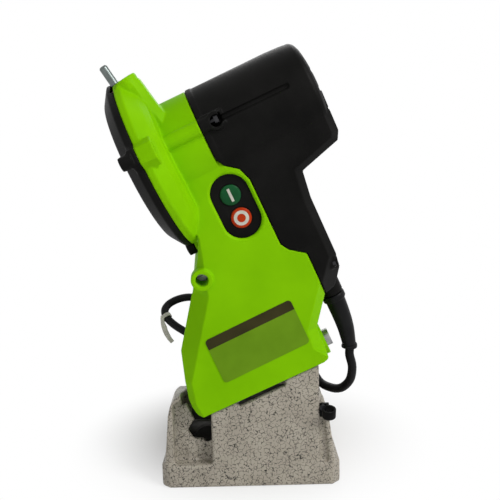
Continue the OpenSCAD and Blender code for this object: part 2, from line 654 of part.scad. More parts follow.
module commutator() color([0.7, 0.42, 0.2]) head_frame() difference() {
  rod_a(9, 73, 81, 0, shaft_c);
  rod_a(5, 72, 74, 0, shaft_c);
  rod_a(4, 73, 83, 0, shaft_c);
}
module cooling_fan() color([0.15, 0.15, 0.16]) head_frame() difference() {
  union() {
    rod_a(8, 19, 29, 0, shaft_c);
    rod_a(19, 19, 20.4, 0, shaft_c);
    for (t = [0:40:320]) translate([20, 0, shaft_c]) rotate([t, 0, 0])
      translate([0, -0.7, 6]) cube([8, 1.4, 12.5]);
  }
  rod_a(5, 18, 30, 0, shaft_c);
}
module inner_flange() color([0.66, 0.66, 0.68]) head_frame() difference() {
  union() {
    rod_a(17, disc_a + disc_t / 2, disc_a + disc_t / 2 + 3, 0, shaft_c);
    rod_a(7.4, disc_a + disc_t / 2, 9.6, 0, shaft_c);
  }
  rod_a(5, -20, 20, 0, shaft_c);
}
module grinding_disc() color([0.72, 0.4, 0.28]) head_frame() difference() {
  rod_a(disc_d / 2, disc_a - disc_t / 2, disc_a + disc_t / 2, 0, shaft_c);
  rod_a(5, -20, 20, 0, shaft_c);
}
module outer_flange() color([0.66, 0.66, 0.68]) head_frame()
  ring_a(17, 5, disc_a - disc_t / 2 - 1.9, disc_a - disc_t / 2);
module spindle_nut() color([0.6, 0.6, 0.62]) head_frame() difference() {
  hex_a(16, -10.7, disc_a - disc_t / 2 - 1.9, 0, shaft_c);
  rod_a(5, -20, 20, 0, shaft_c);
}

// Mains lead
module cord_anchor() color([0.14, 0.14, 0.15]) head_frame() difference() {
  translate([59.8, -9, 44]) cube([8, 18, 6]);
  translate([62.4, 0, 40]) cylinder(r = cord_r, h = 12);
  for (b = [-6.6, 6.6]) rod_a(1.5, 50, 75, b, 47);
}
module anchor_screws() color([0.7, 0.7, 0.72]) head_frame() for (b = [-6.6, 6.6]) {
  rod_a(1.5, 57.9, 68, b, 47);
  rod_a(2.4, 67.9, 69.4, b, 47);
}
coil_x = -12;
coil_y = 142;
coil_r = 42.75;
coil_step = 6.6;
coil_turns = 6.5;
coil_z = 4;
relief_top = 39.5;
module strain_relief() color([0.05, 0.05, 0.055]) head_frame() difference() {
  union() {
    translate([61.6, 0, 20]) cylinder(r = 6, h = relief_top - 20);
    translate([61.6, 0, 22]) cylinder(r = 7.6, h = 4.3);
    relief_cone();
  }
  tube(smooth(tail_route, 2), cord_r + 0.05, 8);
}
module relief_cone() {
  hull() {
    translate([61.6, 0, 22]) cylinder(r = 6.4, h = 1);
    translate([60.8, 0, 5]) rotate([0, 6, 0]) cylinder(r = 5.8, h = 1);
  }
  hull() {
    translate([60.8, 0, 5]) rotate([0, 6, 0]) cylinder(r = 5.8, h = 1);
    translate([57.6, 0, -12.4]) rotate([0, 20, 0]) cylinder(r = 4.4, h = 1);
  }
  translate([57.4, 0, -13]) rotate([0, 20, 0]) cylinder(r = 5.2, h = 2.2);
}
// Route of the lead: end of the relief, shoulder, deck, loop on the left, back over the deck, floor
function head_point(p) = let (b = p[1] * cos(lean) - p[2] * sin(lean),
  c = p[1] * sin(lean) + p[2] * cos(lean))
  hinge + [p[0] * cos(tilt) - c * sin(tilt), b, p[0] * sin(tilt) + c * cos(tilt)];
tail_route = [[62.4, 0, 54], [62.4, 0, 44], [61.6, 0, 34], [61.6, 0, 22], [61.6, 0, 14],
  [60.6, 0, 2], [58.6, 0, -9], [56.8, 0, -14.4]];
module cord_tail() color([0.06, 0.06, 0.06]) head_frame() tube(smooth(tail_route, 2), cord_r, 8);
lead_route = [head_point([56.6, 0, -14.9]), head_point([54.9, 0, -18.8]), [69.8, -58.5, 68],
  [68.8, -54, 57.4], [63.4, -48.5, 50], [56.5, -42.5, 48.6], [49.5, -35, 51.2], [43.5, -23, 61.5],
  [37, -12.5, 69.5], [26, -3, 70], [4, 2, 69.2], [-18, 2, 69.2], [-31, 2, 70.8], [-41, 2, 75.6],
  [-47.6, 2, 79.4], [-53, 3, 82.5], [-58.4, 5, 86.1], [-62.9, 8, 90.2], [-64.5, 12, 94.1],
  [-63.1, 15.5, 97.2], [-59.4, 18, 99.8], [-52.4, 20, 102.2], [-43.8, 21.5, 102.6], [-35, 22.4, 98.6],
  [-27, 22.7, 89], [-19, 22.75, 79.5], [-9, 22.75, 73.6], [3, 22.6, 70.6], [18, 22.4, 69.6],
  [30, 23, 69.6], [40, 25, 70], [45, 27.5, 69], [48.6, 30.5, 64.5], [49.9, 33, 56], [49.9, 37, 38],
  [50.2, 45, 20], [51.5, 57, 7.5], [51.8, 70, 3.3], [51, 84, 3.3], [46, 94, 3.3], [36, 98.6, 3.3],
  [20, 99.6, 3.5], [4, 99.3, 3.8], [coil_x, coil_y - coil_r, coil_z]];
// Smooth curve through the route points
function blend(p, q, r, s, t) = 0.5 * (2 * q + (r - p) * t + (2 * p - 5 * q + 4 * r - s) * t * t
  + (3 * q - p - 3 * r + s) * t * t * t);
function smooth(p, n) = concat([for (i = [0:len(p) - 2]) for (k = [0:n - 1])
  blend(p[max(i - 1, 0)], p[i], p[i + 1], p[min(i + 2, len(p) - 1)], k / n)], [p[len(p) - 1]]);
lead_path = smooth(lead_route, 2);
module cord_lead() color([0.06, 0.06, 0.06]) tube(lead_path, cord_r, 8);
// Coil on the floor behind the nose: in along the lower layer, out along the upper one
function coil_point(t) = let (r = coil_r - coil_step * min(t, coil_turns - t), w = 360 * t - 90,
  z = coil_z + coil_step * min(max((t - 3) * 2, 0), 1))
  [coil_x - r * cos(w), coil_y + r * sin(w), z];
coil_path = concat([for (i = [0:coil_turns * 24]) coil_point(i / 24)],
  [[coil_x + 12, coil_y + coil_r, 10], [coil_x + 24, coil_y + coil_r, 8.2],
  [coil_x + 36, coil_y + coil_r, 7]]);
module cord_coil() color([0.06, 0.06, 0.06]) tube(coil_path, cord_r, 6);
// Least room between two stretches of a wound piece, measured on its points
function self_gap(p, d, skip) = min([for (i = [0:len(p) - 1 - skip]) min([for (k = [i + skip:len(p) - 1])
  norm(p[k] - p[i])])]) - d;
function path_length(p, i = 0, sum = 0) = i >= len(p) - 1 ? sum
  : path_length(p, i + 1, sum + norm(p[i + 1] - p[i]));
echo(coil_self_gap = self_gap(coil_path, cord_d, 8));
echo(spring_self_gap = self_gap(spring_path, spring_wire, 5));
echo(lead_mm = path_length(lead_path), coil_mm = path_length(coil_path));
// Band that ties the loop, with its free end hanging down
tie_at = [-62.9, 8, 90.2];
tie_dir = [-6.2, 7, 8];
tie_turn = [0, acos(tie_dir[2] / norm(tie_dir)), atan2(tie_dir[1], tie_dir[0])];
module cord_tie() color([0.72, 0.69, 0.64]) {
  translate(tie_at) rotate(tie_turn) difference() {
    translate([0, 0, -2]) cylinder(r = 4.4, h = 4);
    translate([0, 0, -3]) cylinder(r = cord_r + 0.15, h = 6);
  }
  along(4.2, 5.4) polygon([[-66.8, 92], [-67, 88], [-66.5, 83], [-64.2, 76.4], [-59.8, 70.2], [-57.4, 72],
    [-60.9, 78], [-62.6, 83.4], [-64.2, 87], [-64.6, 92]]);
}
// Band round the coil, across its turns
band_t = 0.6;
band_in = coil_r - coil_step * 3.25 - cord_r - 0.4;
band_out = coil_r - coil_step * 0.25 + cord_r + 0.4;
band_top = coil_z + coil_step + cord_r + 0.2;
module coil_tie() color([0.08, 0.08, 0.085]) translate([coil_x, coil_y, 0]) mirror([1, 0, 0]) difference() {
  box(band_in - band_t, band_out + band_t, -3, 3, 0.2, band_top + band_t);
  box(band_in, band_out, -4, 4, 0.2 + band_t, band_top);
}
// Plug at the end of the coil, drawn from the end of the lead
module plug_frame() {
  translate([coil_x + 36, coil_y + coil_r, 0]) children();
}
module mains_plug() color([0.06, 0.06, 0.065]) plug_frame() difference() {
  union() {
    translate([0, 0, 0.4]) linear_extrude(13.4) polygon([[8, -6], [16, -9.4], [32, -12.6], [35, -12.6],
      [35, 12.6], [32, 12.6], [16, 9.4], [8, 6]]);
    translate([-15, 0, 7]) rotate([0, 90, 0]) cylinder(r1 = 4, r2 = 6, h = 24);
  }
  translate([-39.8, 0, 7]) rotate([0, 90, 0]) cylinder(r = cord_r + 0.2, h = 40);
  for (b = [-9.3, 9.3]) translate([26, b, 7]) rotate([0, 90, 0]) cylinder(r = 2, h = 10);
}
module plug_pins() color([0.75, 0.75, 0.76]) plug_frame() for (b = [-9.3, 9.3])
  translate([26.2, b, 7]) rotate([0, 90, 0]) cylinder(r = 1.98, h = 27.8);

base_casting();
hinge_bolt();
hinge_washers();
hinge_nut();
return_spring();
cord_clip();
clip_screw();
vise_table();
vise_pivot_bolt();
table_lock_knob();
fixed_jaw();
jaw_screws();
moving_jaw();
clamp_bolt();
clamp_lever();
pawl_bracket();
pawl_pin();
chain_pawl();
arm_housing();
hinge_bushes();
motor_housing();
housing_screws();
guard_cover();
guard_screws();
handle_stud();
label_plate();
switch_bezel();
switch_body();
start_button();
stop_button();
depth_stop_screw();
depth_stop_nut();
front_bearing();
rear_bearing();
stator_core();
field_coils();
brush_holders();
carbon_brushes();
motor_shaft();
rotor_core();
rotor_windings();
commutator();
cooling_fan();
inner_flange();
grinding_disc();
outer_flange();
spindle_nut();
cord_anchor();
anchor_screws();
strain_relief();
cord_tail();
cord_lead();
cord_coil();
cord_tie();
coil_tie();
mains_plug();
plug_pins();
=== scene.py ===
import math

import bpy
from mathutils import Matrix, Quaternion, Vector


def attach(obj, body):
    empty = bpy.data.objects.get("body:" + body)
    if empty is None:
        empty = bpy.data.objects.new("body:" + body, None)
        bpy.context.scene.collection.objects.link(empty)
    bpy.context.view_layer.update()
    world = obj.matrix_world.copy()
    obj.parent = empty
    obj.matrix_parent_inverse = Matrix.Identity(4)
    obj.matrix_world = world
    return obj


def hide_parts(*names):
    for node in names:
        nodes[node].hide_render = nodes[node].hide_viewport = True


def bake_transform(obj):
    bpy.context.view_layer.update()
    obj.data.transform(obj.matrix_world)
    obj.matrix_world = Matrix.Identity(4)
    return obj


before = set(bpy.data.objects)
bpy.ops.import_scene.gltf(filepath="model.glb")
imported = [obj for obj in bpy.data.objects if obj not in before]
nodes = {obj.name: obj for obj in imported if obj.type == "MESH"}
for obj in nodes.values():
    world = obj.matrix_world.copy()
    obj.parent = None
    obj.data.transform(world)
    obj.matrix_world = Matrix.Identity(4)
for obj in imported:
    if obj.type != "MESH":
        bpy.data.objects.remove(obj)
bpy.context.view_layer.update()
bpy.ops.object.select_all(action="DESELECT")

# Photographer's place: a camera a little above the switches, square to the front of the base
# and turned by about a degree, as the picture was taken by hand.
aim = Vector((0.00277, -0.051, 0.14813))
climb, roll = math.radians(7.2), math.radians(-1.39)
away, focus_px, frame_px = 0.440, 655.8, 500
eye = aim + away * Vector((0, -math.cos(climb), math.sin(climb)))
lens = bpy.data.cameras.new("camera")
lens.sensor_width = 36
lens.lens = focus_px / frame_px * lens.sensor_width
camera = bpy.data.objects.new("camera", lens)
bpy.context.scene.collection.objects.link(camera)
camera.location = eye
camera.rotation_mode = "QUATERNION"
camera.rotation_quaternion = (aim - eye).to_track_quat("-Z", "Y") @ Quaternion((0, 0, 1), roll)
bpy.context.scene.camera = camera
bpy.context.scene.view_settings.view_transform = "Standard"

# Studio: a pale bench top, a white room and three soft lamps. The key lamp stands to the right of
# the camera, as the bright slopes on the right of the head show.
def added(tree, kind, how=None, **values):
    """Adds a node to a finish and sets its inputs, whose names have _ for a space here."""
    node = tree.new("ShaderNode" + kind)
    if how:
        node.operation = how
    for key, value in values.items():
        node.inputs[key.replace("_", " ")].default_value = value
    return node


def seen_rays(tree, links):
    """The share of rays that end in the picture: straight, mirrored or through something clear."""
    rays = added(tree, "LightPath")
    share = rays.outputs["Is Camera Ray"]
    for kind in ("Is Glossy Ray", "Is Transmission Ray"):
        most = added(tree, "Math", "MAXIMUM")
        links.new(share, most.inputs[0])
        links.new(rays.outputs[kind], most.inputs[1])
        share = most.outputs[0]
    return share


white = (1, 1, 1, 1)
bpy.ops.mesh.primitive_plane_add(size=8, location=(0, 0, -0.0002))
floor = bpy.context.object
floor.name = "bench_top"
pale = bpy.data.materials.new("bench_paint")
pale.use_nodes = True
paint, strokes = pale.node_tree.nodes, pale.node_tree.links
matt = paint["Principled BSDF"]
matt.inputs["Base Color"].default_value = (0.9, 0.9, 0.9, 1)
matt.inputs["Roughness"].default_value = 0.9
bench_place = added(paint, "TexCoord")
bench_far = added(paint, "VectorMath", "LENGTH")
fade = added(paint, "MapRange", From_Min=0.03, From_Max=0.14)
fade.interpolation_type = "SMOOTHSTEP"
far_share = added(paint, "Math", "MULTIPLY")
bright = added(paint, "Emission", Color=white, Strength=1.0)
laid = added(paint, "MixShader")
strokes.new(bench_place.outputs["Object"], bench_far.inputs[0])
strokes.new(bench_far.outputs["Value"], fade.inputs["Value"])
strokes.new(seen_rays(paint, strokes), far_share.inputs[0])
strokes.new(fade.outputs["Result"], far_share.inputs[1])
strokes.new(far_share.outputs[0], laid.inputs[0])
strokes.new(matt.outputs[0], laid.inputs[1])
strokes.new(bright.outputs[0], laid.inputs[2])
strokes.new(laid.outputs[0], paint["Material Output"].inputs[0])
floor.data.materials.append(pale)
room = bpy.data.worlds.new("white_room")
bpy.context.scene.world = room
room.use_nodes = True
air, wires = room.node_tree.nodes, room.node_tree.links
air.clear()
dim = added(air, "Background", Color=white, Strength=0.26)
clear = added(air, "Background", Color=white, Strength=1.0)
blended = added(air, "MixShader")
sky = added(air, "OutputWorld")
wires.new(seen_rays(air, wires), blended.inputs[0])
wires.new(dim.outputs[0], blended.inputs[1])
wires.new(clear.outputs[0], blended.inputs[2])
wires.new(blended.outputs[0], sky.inputs[0])
lit_spot = Vector((0, -0.04, 0.13))
for lamp_name, place, power, width in (
        ("key_lamp", (0.72, -0.62, 0.85), 9.5, 0.45),
        ("fill_lamp", (-0.6, -0.9, 0.45), 1.3, 0.7),
        ("back_lamp", (0.1, 0.8, 0.8), 3.5, 0.6)):
    lamp = bpy.data.lights.new(lamp_name, "AREA")
    lamp.energy = power
    lamp.size = width
    holder = bpy.data.objects.new(lamp_name, lamp)
    bpy.context.scene.collection.objects.link(holder)
    holder.location = place
    holder.rotation_euler = (lit_spot - holder.location).to_track_quat("-Z", "Y").to_euler()

# Base: one hollow casting with plinth, two shoulders, column panel, hinge ears and vise deck.
# Cast in metal with soft drafted edges, sprayed with a warm grey crackle paint, the inside painted
# near black as shade of the hollow. A slot below the hinge lets the spring's leg through.
MM = 0.001
hinge = Vector((9.9, -64, 71.9)) * MM
tilt = math.radians(24)
to_hinge = Matrix.Translation(hinge) @ Matrix.Rotation(-tilt, 4, "Y")


def only(piece):
    """Leaves this piece alone selected and active."""
    bpy.ops.object.select_all(action="DESELECT")
    piece.select_set(True)
    bpy.context.view_layer.objects.active = piece


def copy_of(node):
    """A merged copy of a solid, free to be worked on."""
    piece = bpy.data.objects.new(node + "_made", nodes[node].data.copy())
    bpy.context.scene.collection.objects.link(piece)
    only(piece)
    bpy.ops.object.mode_set(mode="EDIT")
    bpy.ops.mesh.select_all(action="SELECT")
    bpy.ops.mesh.remove_doubles(threshold=2e-6)
    bpy.ops.object.mode_set(mode="OBJECT")
    return piece


def worked(piece, kind, **settings):
    """Puts one modifier on a piece and applies it."""
    only(piece)
    step = piece.modifiers.new(kind.lower(), kind)
    for key, value in settings.items():
        setattr(step, key, value)
    bpy.ops.object.modifier_apply(modifier=step.name)


def joined(body, *tools, how="UNION"):
    """Melts tools into a body, or cuts them out of it."""
    for tool in tools:
        worked(body, "BOOLEAN", operation=how, solver="MANIFOLD", object=tool)
        bpy.data.objects.remove(tool)


def cut(body, *tools):
    """Takes tools out of a body."""
    joined(body, *tools, how="DIFFERENCE")


def block(low, high):
    """A box between two corners."""
    low, high = Vector(low) * MM, Vector(high) * MM
    bpy.ops.mesh.primitive_cube_add(size=1, location=(low + high) / 2, scale=high - low)
    bpy.ops.object.transform_apply(location=True, rotation=False, scale=True)
    return bpy.context.object


def moulded(piece, cell, rounds, most):
    """Gives a piece the small fillets of a mould: fine cells, smoothed, then thinned."""
    worked(piece, "REMESH", mode="VOXEL", voxel_size=cell * MM)
    worked(piece, "SMOOTH", factor=0.5, iterations=rounds)
    count = 2 * len(piece.data.polygons)
    if count > most:
        worked(piece, "DECIMATE", ratio=most / count)
    bpy.ops.object.shade_smooth()
    worked(piece, "WEIGHTED_NORMAL", weight=60)
    return piece


def coat(piece, finish):
    """Gives a piece one finish all over."""
    piece.data.materials.clear()
    piece.data.materials.append(finish)


def new_finish(name):
    """An empty finish, with its nodes, their links and its main shader."""
    mat = bpy.data.materials.new(name)
    mat.use_nodes = True
    tree, links = mat.node_tree.nodes, mat.node_tree.links
    return mat, tree, links, tree["Principled BSDF"]


def two_tones(tree, dark, light, low=0.0, high=1.0):
    """A ramp from a dark to a light tone."""
    ramp = added(tree, "ValToRGB")
    for stop, position, tone in zip(ramp.color_ramp.elements, (low, high), (dark, light)):
        stop.position = position
        stop.color = (*tone, 1)
    return ramp


def embossed(tree, links, shader, height, strength):
    """Lifts the surface of a finish by a pattern, up to a third of a millimetre."""
    bump = added(tree, "Bump", Strength=strength, Distance=0.0003)
    links.new(height, bump.inputs["Height"])
    links.new(bump.outputs["Normal"], shader.inputs["Normal"])


def crackle_paint():
    """Warm grey paint broken by thin dark wandering lines; the inside of the casting is painted
    dark as shade.
    """
    mat, tree, links, shader = new_finish("crackle_paint")
    shader.inputs["Specular IOR Level"].default_value = 0.3
    place = added(tree, "TexCoord").outputs["Object"]
    wander = added(tree, "TexNoise", Scale=380, Detail=1)
    bent = added(tree, "MixRGB", Fac=0.0016)
    bent.blend_type = "LINEAR_LIGHT"
    cells = added(tree, "TexVoronoi", Scale=400)
    cells.feature = "DISTANCE_TO_EDGE"
    lines = added(tree, "MapRange", From_Min=0.02, From_Max=0.07)
    breaks = added(tree, "TexNoise", Scale=560, Detail=1)
    gaps = added(tree, "MapRange", From_Min=0.54, From_Max=0.6)
    either = added(tree, "Math", "MAXIMUM")
    clouds = added(tree, "TexNoise", Scale=55, Detail=6)
    greys = two_tones(tree, (0.34, 0.305, 0.25), (0.43, 0.39, 0.325), 0.3, 0.7)
    tone = added(tree, "MixRGB", Color1=(0.022, 0.02, 0.017, 1))
    # A box mask over the casting's inside below 41.5 mm, where the paint is turned into a near
    # black painted shade.
    axes = added(tree, "SeparateXYZ")
    flat = added(tree, "Math", "MULTIPLY")
    hollow = added(tree, "Math", "MULTIPLY")
    for axis, middle, reach, ends in (("X", -0.0015, 0.0415, flat.inputs[0]),
                                      ("Y", -0.0422, 0.0341, flat.inputs[1]),
                                      ("Z", 0.0, 0.0415, hollow.inputs[1])):
        span = added(tree, "Math", "COMPARE")
        span.inputs[1].default_value = middle
        span.inputs[2].default_value = reach
        links.new(axes.outputs[axis], span.inputs[0])
        links.new(span.outputs[0], ends)
    painted_inside_shade = added(tree, "MixRGB", Color2=(0.03, 0.028, 0.025, 1))
    gloss = added(tree, "MapRange", To_Min=0.6, To_Max=0.36)
    for reader in (wander, breaks, axes, clouds):
        links.new(place, reader.inputs["Vector"])
    links.new(place, bent.inputs["Color1"])
    links.new(wander.outputs["Color"], bent.inputs["Color2"])
    links.new(bent.outputs["Color"], cells.inputs["Vector"])
    links.new(cells.outputs["Distance"], lines.inputs["Value"])
    links.new(breaks.outputs["Fac"], gaps.inputs["Value"])
    links.new(lines.outputs["Result"], either.inputs[0])
    links.new(gaps.outputs["Result"], either.inputs[1])
    links.new(clouds.outputs["Fac"], greys.inputs["Fac"])
    links.new(either.outputs[0], tone.inputs["Fac"])
    links.new(greys.outputs["Color"], tone.inputs["Color2"])
    links.new(flat.outputs[0], hollow.inputs[0])
    links.new(hollow.outputs[0], painted_inside_shade.inputs["Fac"])
    links.new(tone.outputs["Color"], painted_inside_shade.inputs["Color1"])
    links.new(painted_inside_shade.outputs["Color"], shader.inputs["Base Color"])
    links.new(either.outputs[0], gloss.inputs["Value"])
    links.new(gloss.outputs["Result"], shader.inputs["Roughness"])
    embossed(tree, links, shader, either.outputs[0], 0.35)
    return mat


base = copy_of("base_casting")
spring_slot = block((-23, -27, -10.8), (10.4, -16, -6))
spring_slot.data.transform(to_hinge)
cut(base, spring_slot)
moulded(base, cell=0.95, rounds=5, most=190000)
base.name = "cast_base"
coat(base, crackle_paint())
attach(base, "base")
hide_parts("base_casting")

# Hinge: a long zinc plated bolt through both ears and the arm, with washers, a lock nut and the
# wire spring that lifts the head back. Bought-in hardware, turned, pressed and wound.
def mottled(name, dark, light, cloud, rough, grain=2600, lift=0.1, metal=0.0, shine=0.5):
    """A finish whose tone drifts in soft clouds, with a fine grain in its gloss and surface."""
    mat, tree, links, shader = new_finish(name)
    shader.inputs["Metallic"].default_value = metal
    shader.inputs["Specular IOR Level"].default_value = shine
    place = added(tree, "TexCoord").outputs["Object"]
    clouds = added(tree, "TexNoise", Scale=cloud, Detail=3)
    tones = two_tones(tree, dark, light, 0.35, 0.65)
    grains = added(tree, "TexNoise", Scale=grain, Detail=2)
    gloss = added(tree, "MapRange", From_Min=0.3, From_Max=0.7, To_Min=rough[0], To_Max=rough[1])
    links.new(place, clouds.inputs["Vector"])
    links.new(place, grains.inputs["Vector"])
    links.new(clouds.outputs["Fac"], tones.inputs["Fac"])
    links.new(tones.outputs["Color"], shader.inputs["Base Color"])
    links.new(grains.outputs["Fac"], gloss.inputs["Value"])
    links.new(gloss.outputs["Result"], shader.inputs["Roughness"])
    embossed(tree, links, shader, grains.outputs["Fac"], lift)
    return mat


zinc = mottled("zinc_plate", (0.26, 0.26, 0.27), (0.38, 0.38, 0.38), cloud=220, rough=(0.24, 0.42),
               grain=1800, lift=0.05, metal=1.0)
wire = mottled("spring_wire", (0.16, 0.16, 0.17), (0.26, 0.26, 0.27), cloud=160, rough=(0.25, 0.42),
               grain=2400, lift=0.06, metal=1.0)
for name in ("hinge_bolt", "hinge_washers", "hinge_nut"):
    coat(nodes[name], zinc)


def tube(name, route, radii, sides):
    """A round cord or sleeve along a route, made a mesh; radii is one value or one per stop."""
    line = bpy.data.curves.new(name, "CURVE")
    line.dimensions = "3D"
    line.bevel_depth = MM
    line.bevel_resolution = sides
    line.use_fill_caps = True
    spline = line.splines.new("POLY")
    spline.points.add(len(route) - 1)
    for k, (point, place) in enumerate(zip(spline.points, route)):
        point.co = (*place, 1)
        point.radius = radii[k] if isinstance(radii, list) else radii
    piece = bpy.data.objects.new(name, line)
    bpy.context.scene.collection.objects.link(piece)
    only(piece)
    bpy.ops.object.convert(target="MESH")
    bpy.ops.object.shade_smooth_by_angle(angle=math.radians(40))
    return piece


spring_left, spring_long, spring_r, wire_r = -22, 40, 7.6, 1.1
spring_turns, ring_count = 8.25, 264
spring_right = spring_left + spring_long
spring_line = [(spring_left, -21.5, -spring_r), (spring_left, -7, -spring_r)]
for k in range(ring_count + 1):
    turn = math.radians(360 * spring_turns * k / ring_count - 90)
    spring_line.append((spring_left + spring_long * k / ring_count,
                        spring_r * math.cos(turn), spring_r * math.sin(turn)))
spring_line += [(spring_right, spring_r, 8), (spring_right, spring_r, 24)]
spring = tube("wound_spring", [to_hinge @ (Vector(p) * MM) for p in spring_line], wire_r, 4)
coat(spring, wire)
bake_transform(spring)
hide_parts("return_spring")

# Clip for the lead: a black nylon loop screwed to the right shoulder, with a level ring that the
# lead can be hung in. Moulded in one piece with a small screw plate.
black_grain = mottled("black_grain", (0.0042, 0.0041, 0.0038), (0.0075, 0.0072, 0.0068), cloud=45,
                      rough=(0.4, 0.56), grain=2200, lift=0.16, shine=0.05)
black_zinc = mottled("black_zinc", (0.02, 0.02, 0.022), (0.045, 0.045, 0.048), cloud=220,
                     rough=(0.3, 0.5), grain=1800, lift=0.05, metal=0.9)


def broken_edges(piece, width, limit, smooth):
    """Breaks the edges that are sharper than a limit, and shades the rest smooth."""
    worked(piece, "BEVEL", width=width * MM, segments=2, limit_method="ANGLE",
           angle_limit=math.radians(limit))
    bpy.ops.object.shade_smooth_by_angle(angle=math.radians(smooth))


ring_middle, ring_tip = Vector((49.8, -92.4, 49.4)) * MM, math.radians(17)
clip = block((44.5, -88, 45), (50.4, -85.6, 53.6))
for radius, reach, how in ((4.4, 2.7, "UNION"), (3.2, 6, "DIFFERENCE")):
    bpy.ops.mesh.primitive_cylinder_add(vertices=48, radius=radius * MM, depth=2 * reach * MM,
                                        location=ring_middle, rotation=(ring_tip, 0, 0))
    bpy.ops.object.transform_apply(location=True, rotation=True, scale=True)
    joined(clip, bpy.context.object, how=how)
screw_room = block((44.5, -93.5, 49), (48.4, -88.1, 53.4))
cut(clip, screw_room)
broken_edges(clip, 0.3, limit=50, smooth=40)
clip.name = "lead_clip"
coat(clip, black_grain)
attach(clip, "base")
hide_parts("cord_clip")
coat(nodes["clip_screw"], black_zinc)

# Vise: a swivelling iron table on a pivot bolt, two jaws, the clamp lever and the chain pawl.
# Cast and milled iron with zinc plated hardware and two black plastic hand pieces.
iron = mottled("milled_iron", (0.16, 0.16, 0.165), (0.25, 0.25, 0.255), cloud=120,
               rough=(0.32, 0.5), grain=1600, lift=0.12, metal=0.9)


def eased(node, width, finish, body):
    """A copy of a solid with its sharp edges broken, as a file or a mould leaves them."""
    piece = copy_of(node)
    bpy.ops.object.mode_set(mode="EDIT")
    bpy.ops.mesh.select_all(action="SELECT")
    bpy.ops.mesh.dissolve_limited(angle_limit=math.radians(1))
    bpy.ops.object.mode_set(mode="OBJECT")
    broken_edges(piece, width, limit=40, smooth=35)
    coat(piece, finish)
    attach(piece, body)
    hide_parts(node)
    return piece


eased("vise_table", 0.8, iron, "vise")
eased("fixed_jaw", 0.5, iron, "vise")
eased("moving_jaw", 0.5, iron, "jaw")
eased("clamp_lever", 0.7, black_grain, "lever")
eased("table_lock_knob", 0.6, black_grain, "lock_knob")
for name in ("vise_pivot_bolt", "jaw_screws", "clamp_bolt", "pawl_bracket", "pawl_pin",
             "chain_pawl"):
    coat(nodes[name], zinc)

# Arm: the green half of the head, with the neck of the motor and the inner half of the disc guard.
# Injection moulded in lime plastic with a fine spark texture, hollow, ribbed and open below. Its
# switch side has slanted edges, which grow wide towards the middle of the arm.
lean = math.radians(8)
to_head = to_hinge @ Matrix.Rotation(lean, 4, "X")
near_side, far_side, wall = -27, 24, 2.6
shaft_c, guard_r, disc_a = 150, 53.4, -4
shaft = (0, shaft_c)
bucket_r, shell, neck_end = 31, 2.5, 31.9
button_a, start_c, stop_c = 30.8, 117.4, 102.5
hinge_axis, depth_hole, socket_a = (0, 0), (-6.5, 79), 61.6
socket = (socket_a, 0)
round_lugs, near_turn, lug_out, lug_r = (40, 186), 282, 1.5, 4.8
lug_turns = (round_lugs[0], near_turn, round_lugs[1])
screw_places = ((-29.8, 160.5), (29.8, 160.5))
low_sides, low_c = (-20, 20), 52
arm_line = [(-46.5, -3), (-49, -1), (-49.8, 4), (-49.2, 11), (-41.3, 39), (-16, 73), (-3, 92),
            (3, 103), (3, 128), (6, 140), (6, 151), (31.9, 151), (31.9, 140), (35, 134.4),
            (42, 129), (44.9, 121), (44.9, 78), (48, 73), (56.9, 66), (56.9, 36), (43.5, 18),
            (42.5, 8), (42.5, -3)]
arm_hollow = [(-45, -12), (-46.4, 0), (-47.1, 4), (-46.5, 10.6), (-38.7, 37.6), (-13.6, 71.2),
              (0, 91), (5.6, 102.4), (5.6, 128), (9, 140), (9, 151), (33, 151), (33, 140),
              (35, 132), (40, 127), (42.4, 120), (42.4, 77), (47, 70.4), (54.4, 64.6),
              (54.4, 37), (41, 19), (39.5, 8), (39.5, -12)]


def prism(corners, push):
    """A face through the corners, given on the head's axes, filled and extruded by the push."""
    bpy.ops.mesh.primitive_circle_add(vertices=len(corners), fill_type="NGON")
    piece = bpy.context.object
    for vertex, corner in zip(piece.data.vertices, corners):
        vertex.co = Vector(corner) * MM
    bpy.ops.object.mode_set(mode="EDIT")
    bpy.ops.mesh.select_all(action="SELECT")
    bpy.ops.mesh.extrude_region_move(TRANSFORM_OT_translate={"value": Vector(push) * MM})
    bpy.ops.mesh.select_all(action="SELECT")
    bpy.ops.mesh.normals_make_consistent(inside=False)
    bpy.ops.object.mode_set(mode="OBJECT")
    return piece


def slab(outline, near, far):
    """An outline on the head's a and c axes, extruded from the near to the far side."""
    return prism([(a, near, c) for a, c in outline], (0, far - near, 0))


def rod(axis, radius, start, end, middle, sides=56, top=None):
    """A round bar along one axis of the head; middle holds its place on the other two axes."""
    spin = {"a": (0, math.pi / 2, 0), "b": (-math.pi / 2, 0, 0), "c": (0, 0, 0)}[axis]
    half = (start + end) / 2
    place = {"a": (half, *middle), "b": (middle[0], half, middle[1]), "c": (*middle, half)}[axis]
    bpy.ops.mesh.primitive_cone_add(vertices=sides, radius1=radius * MM, depth=(end - start) * MM,
                                    radius2=(radius if top is None else top) * MM,
                                    location=Vector(place) * MM, rotation=spin)
    bpy.ops.object.transform_apply(location=True, rotation=True, scale=True)
    return bpy.context.object


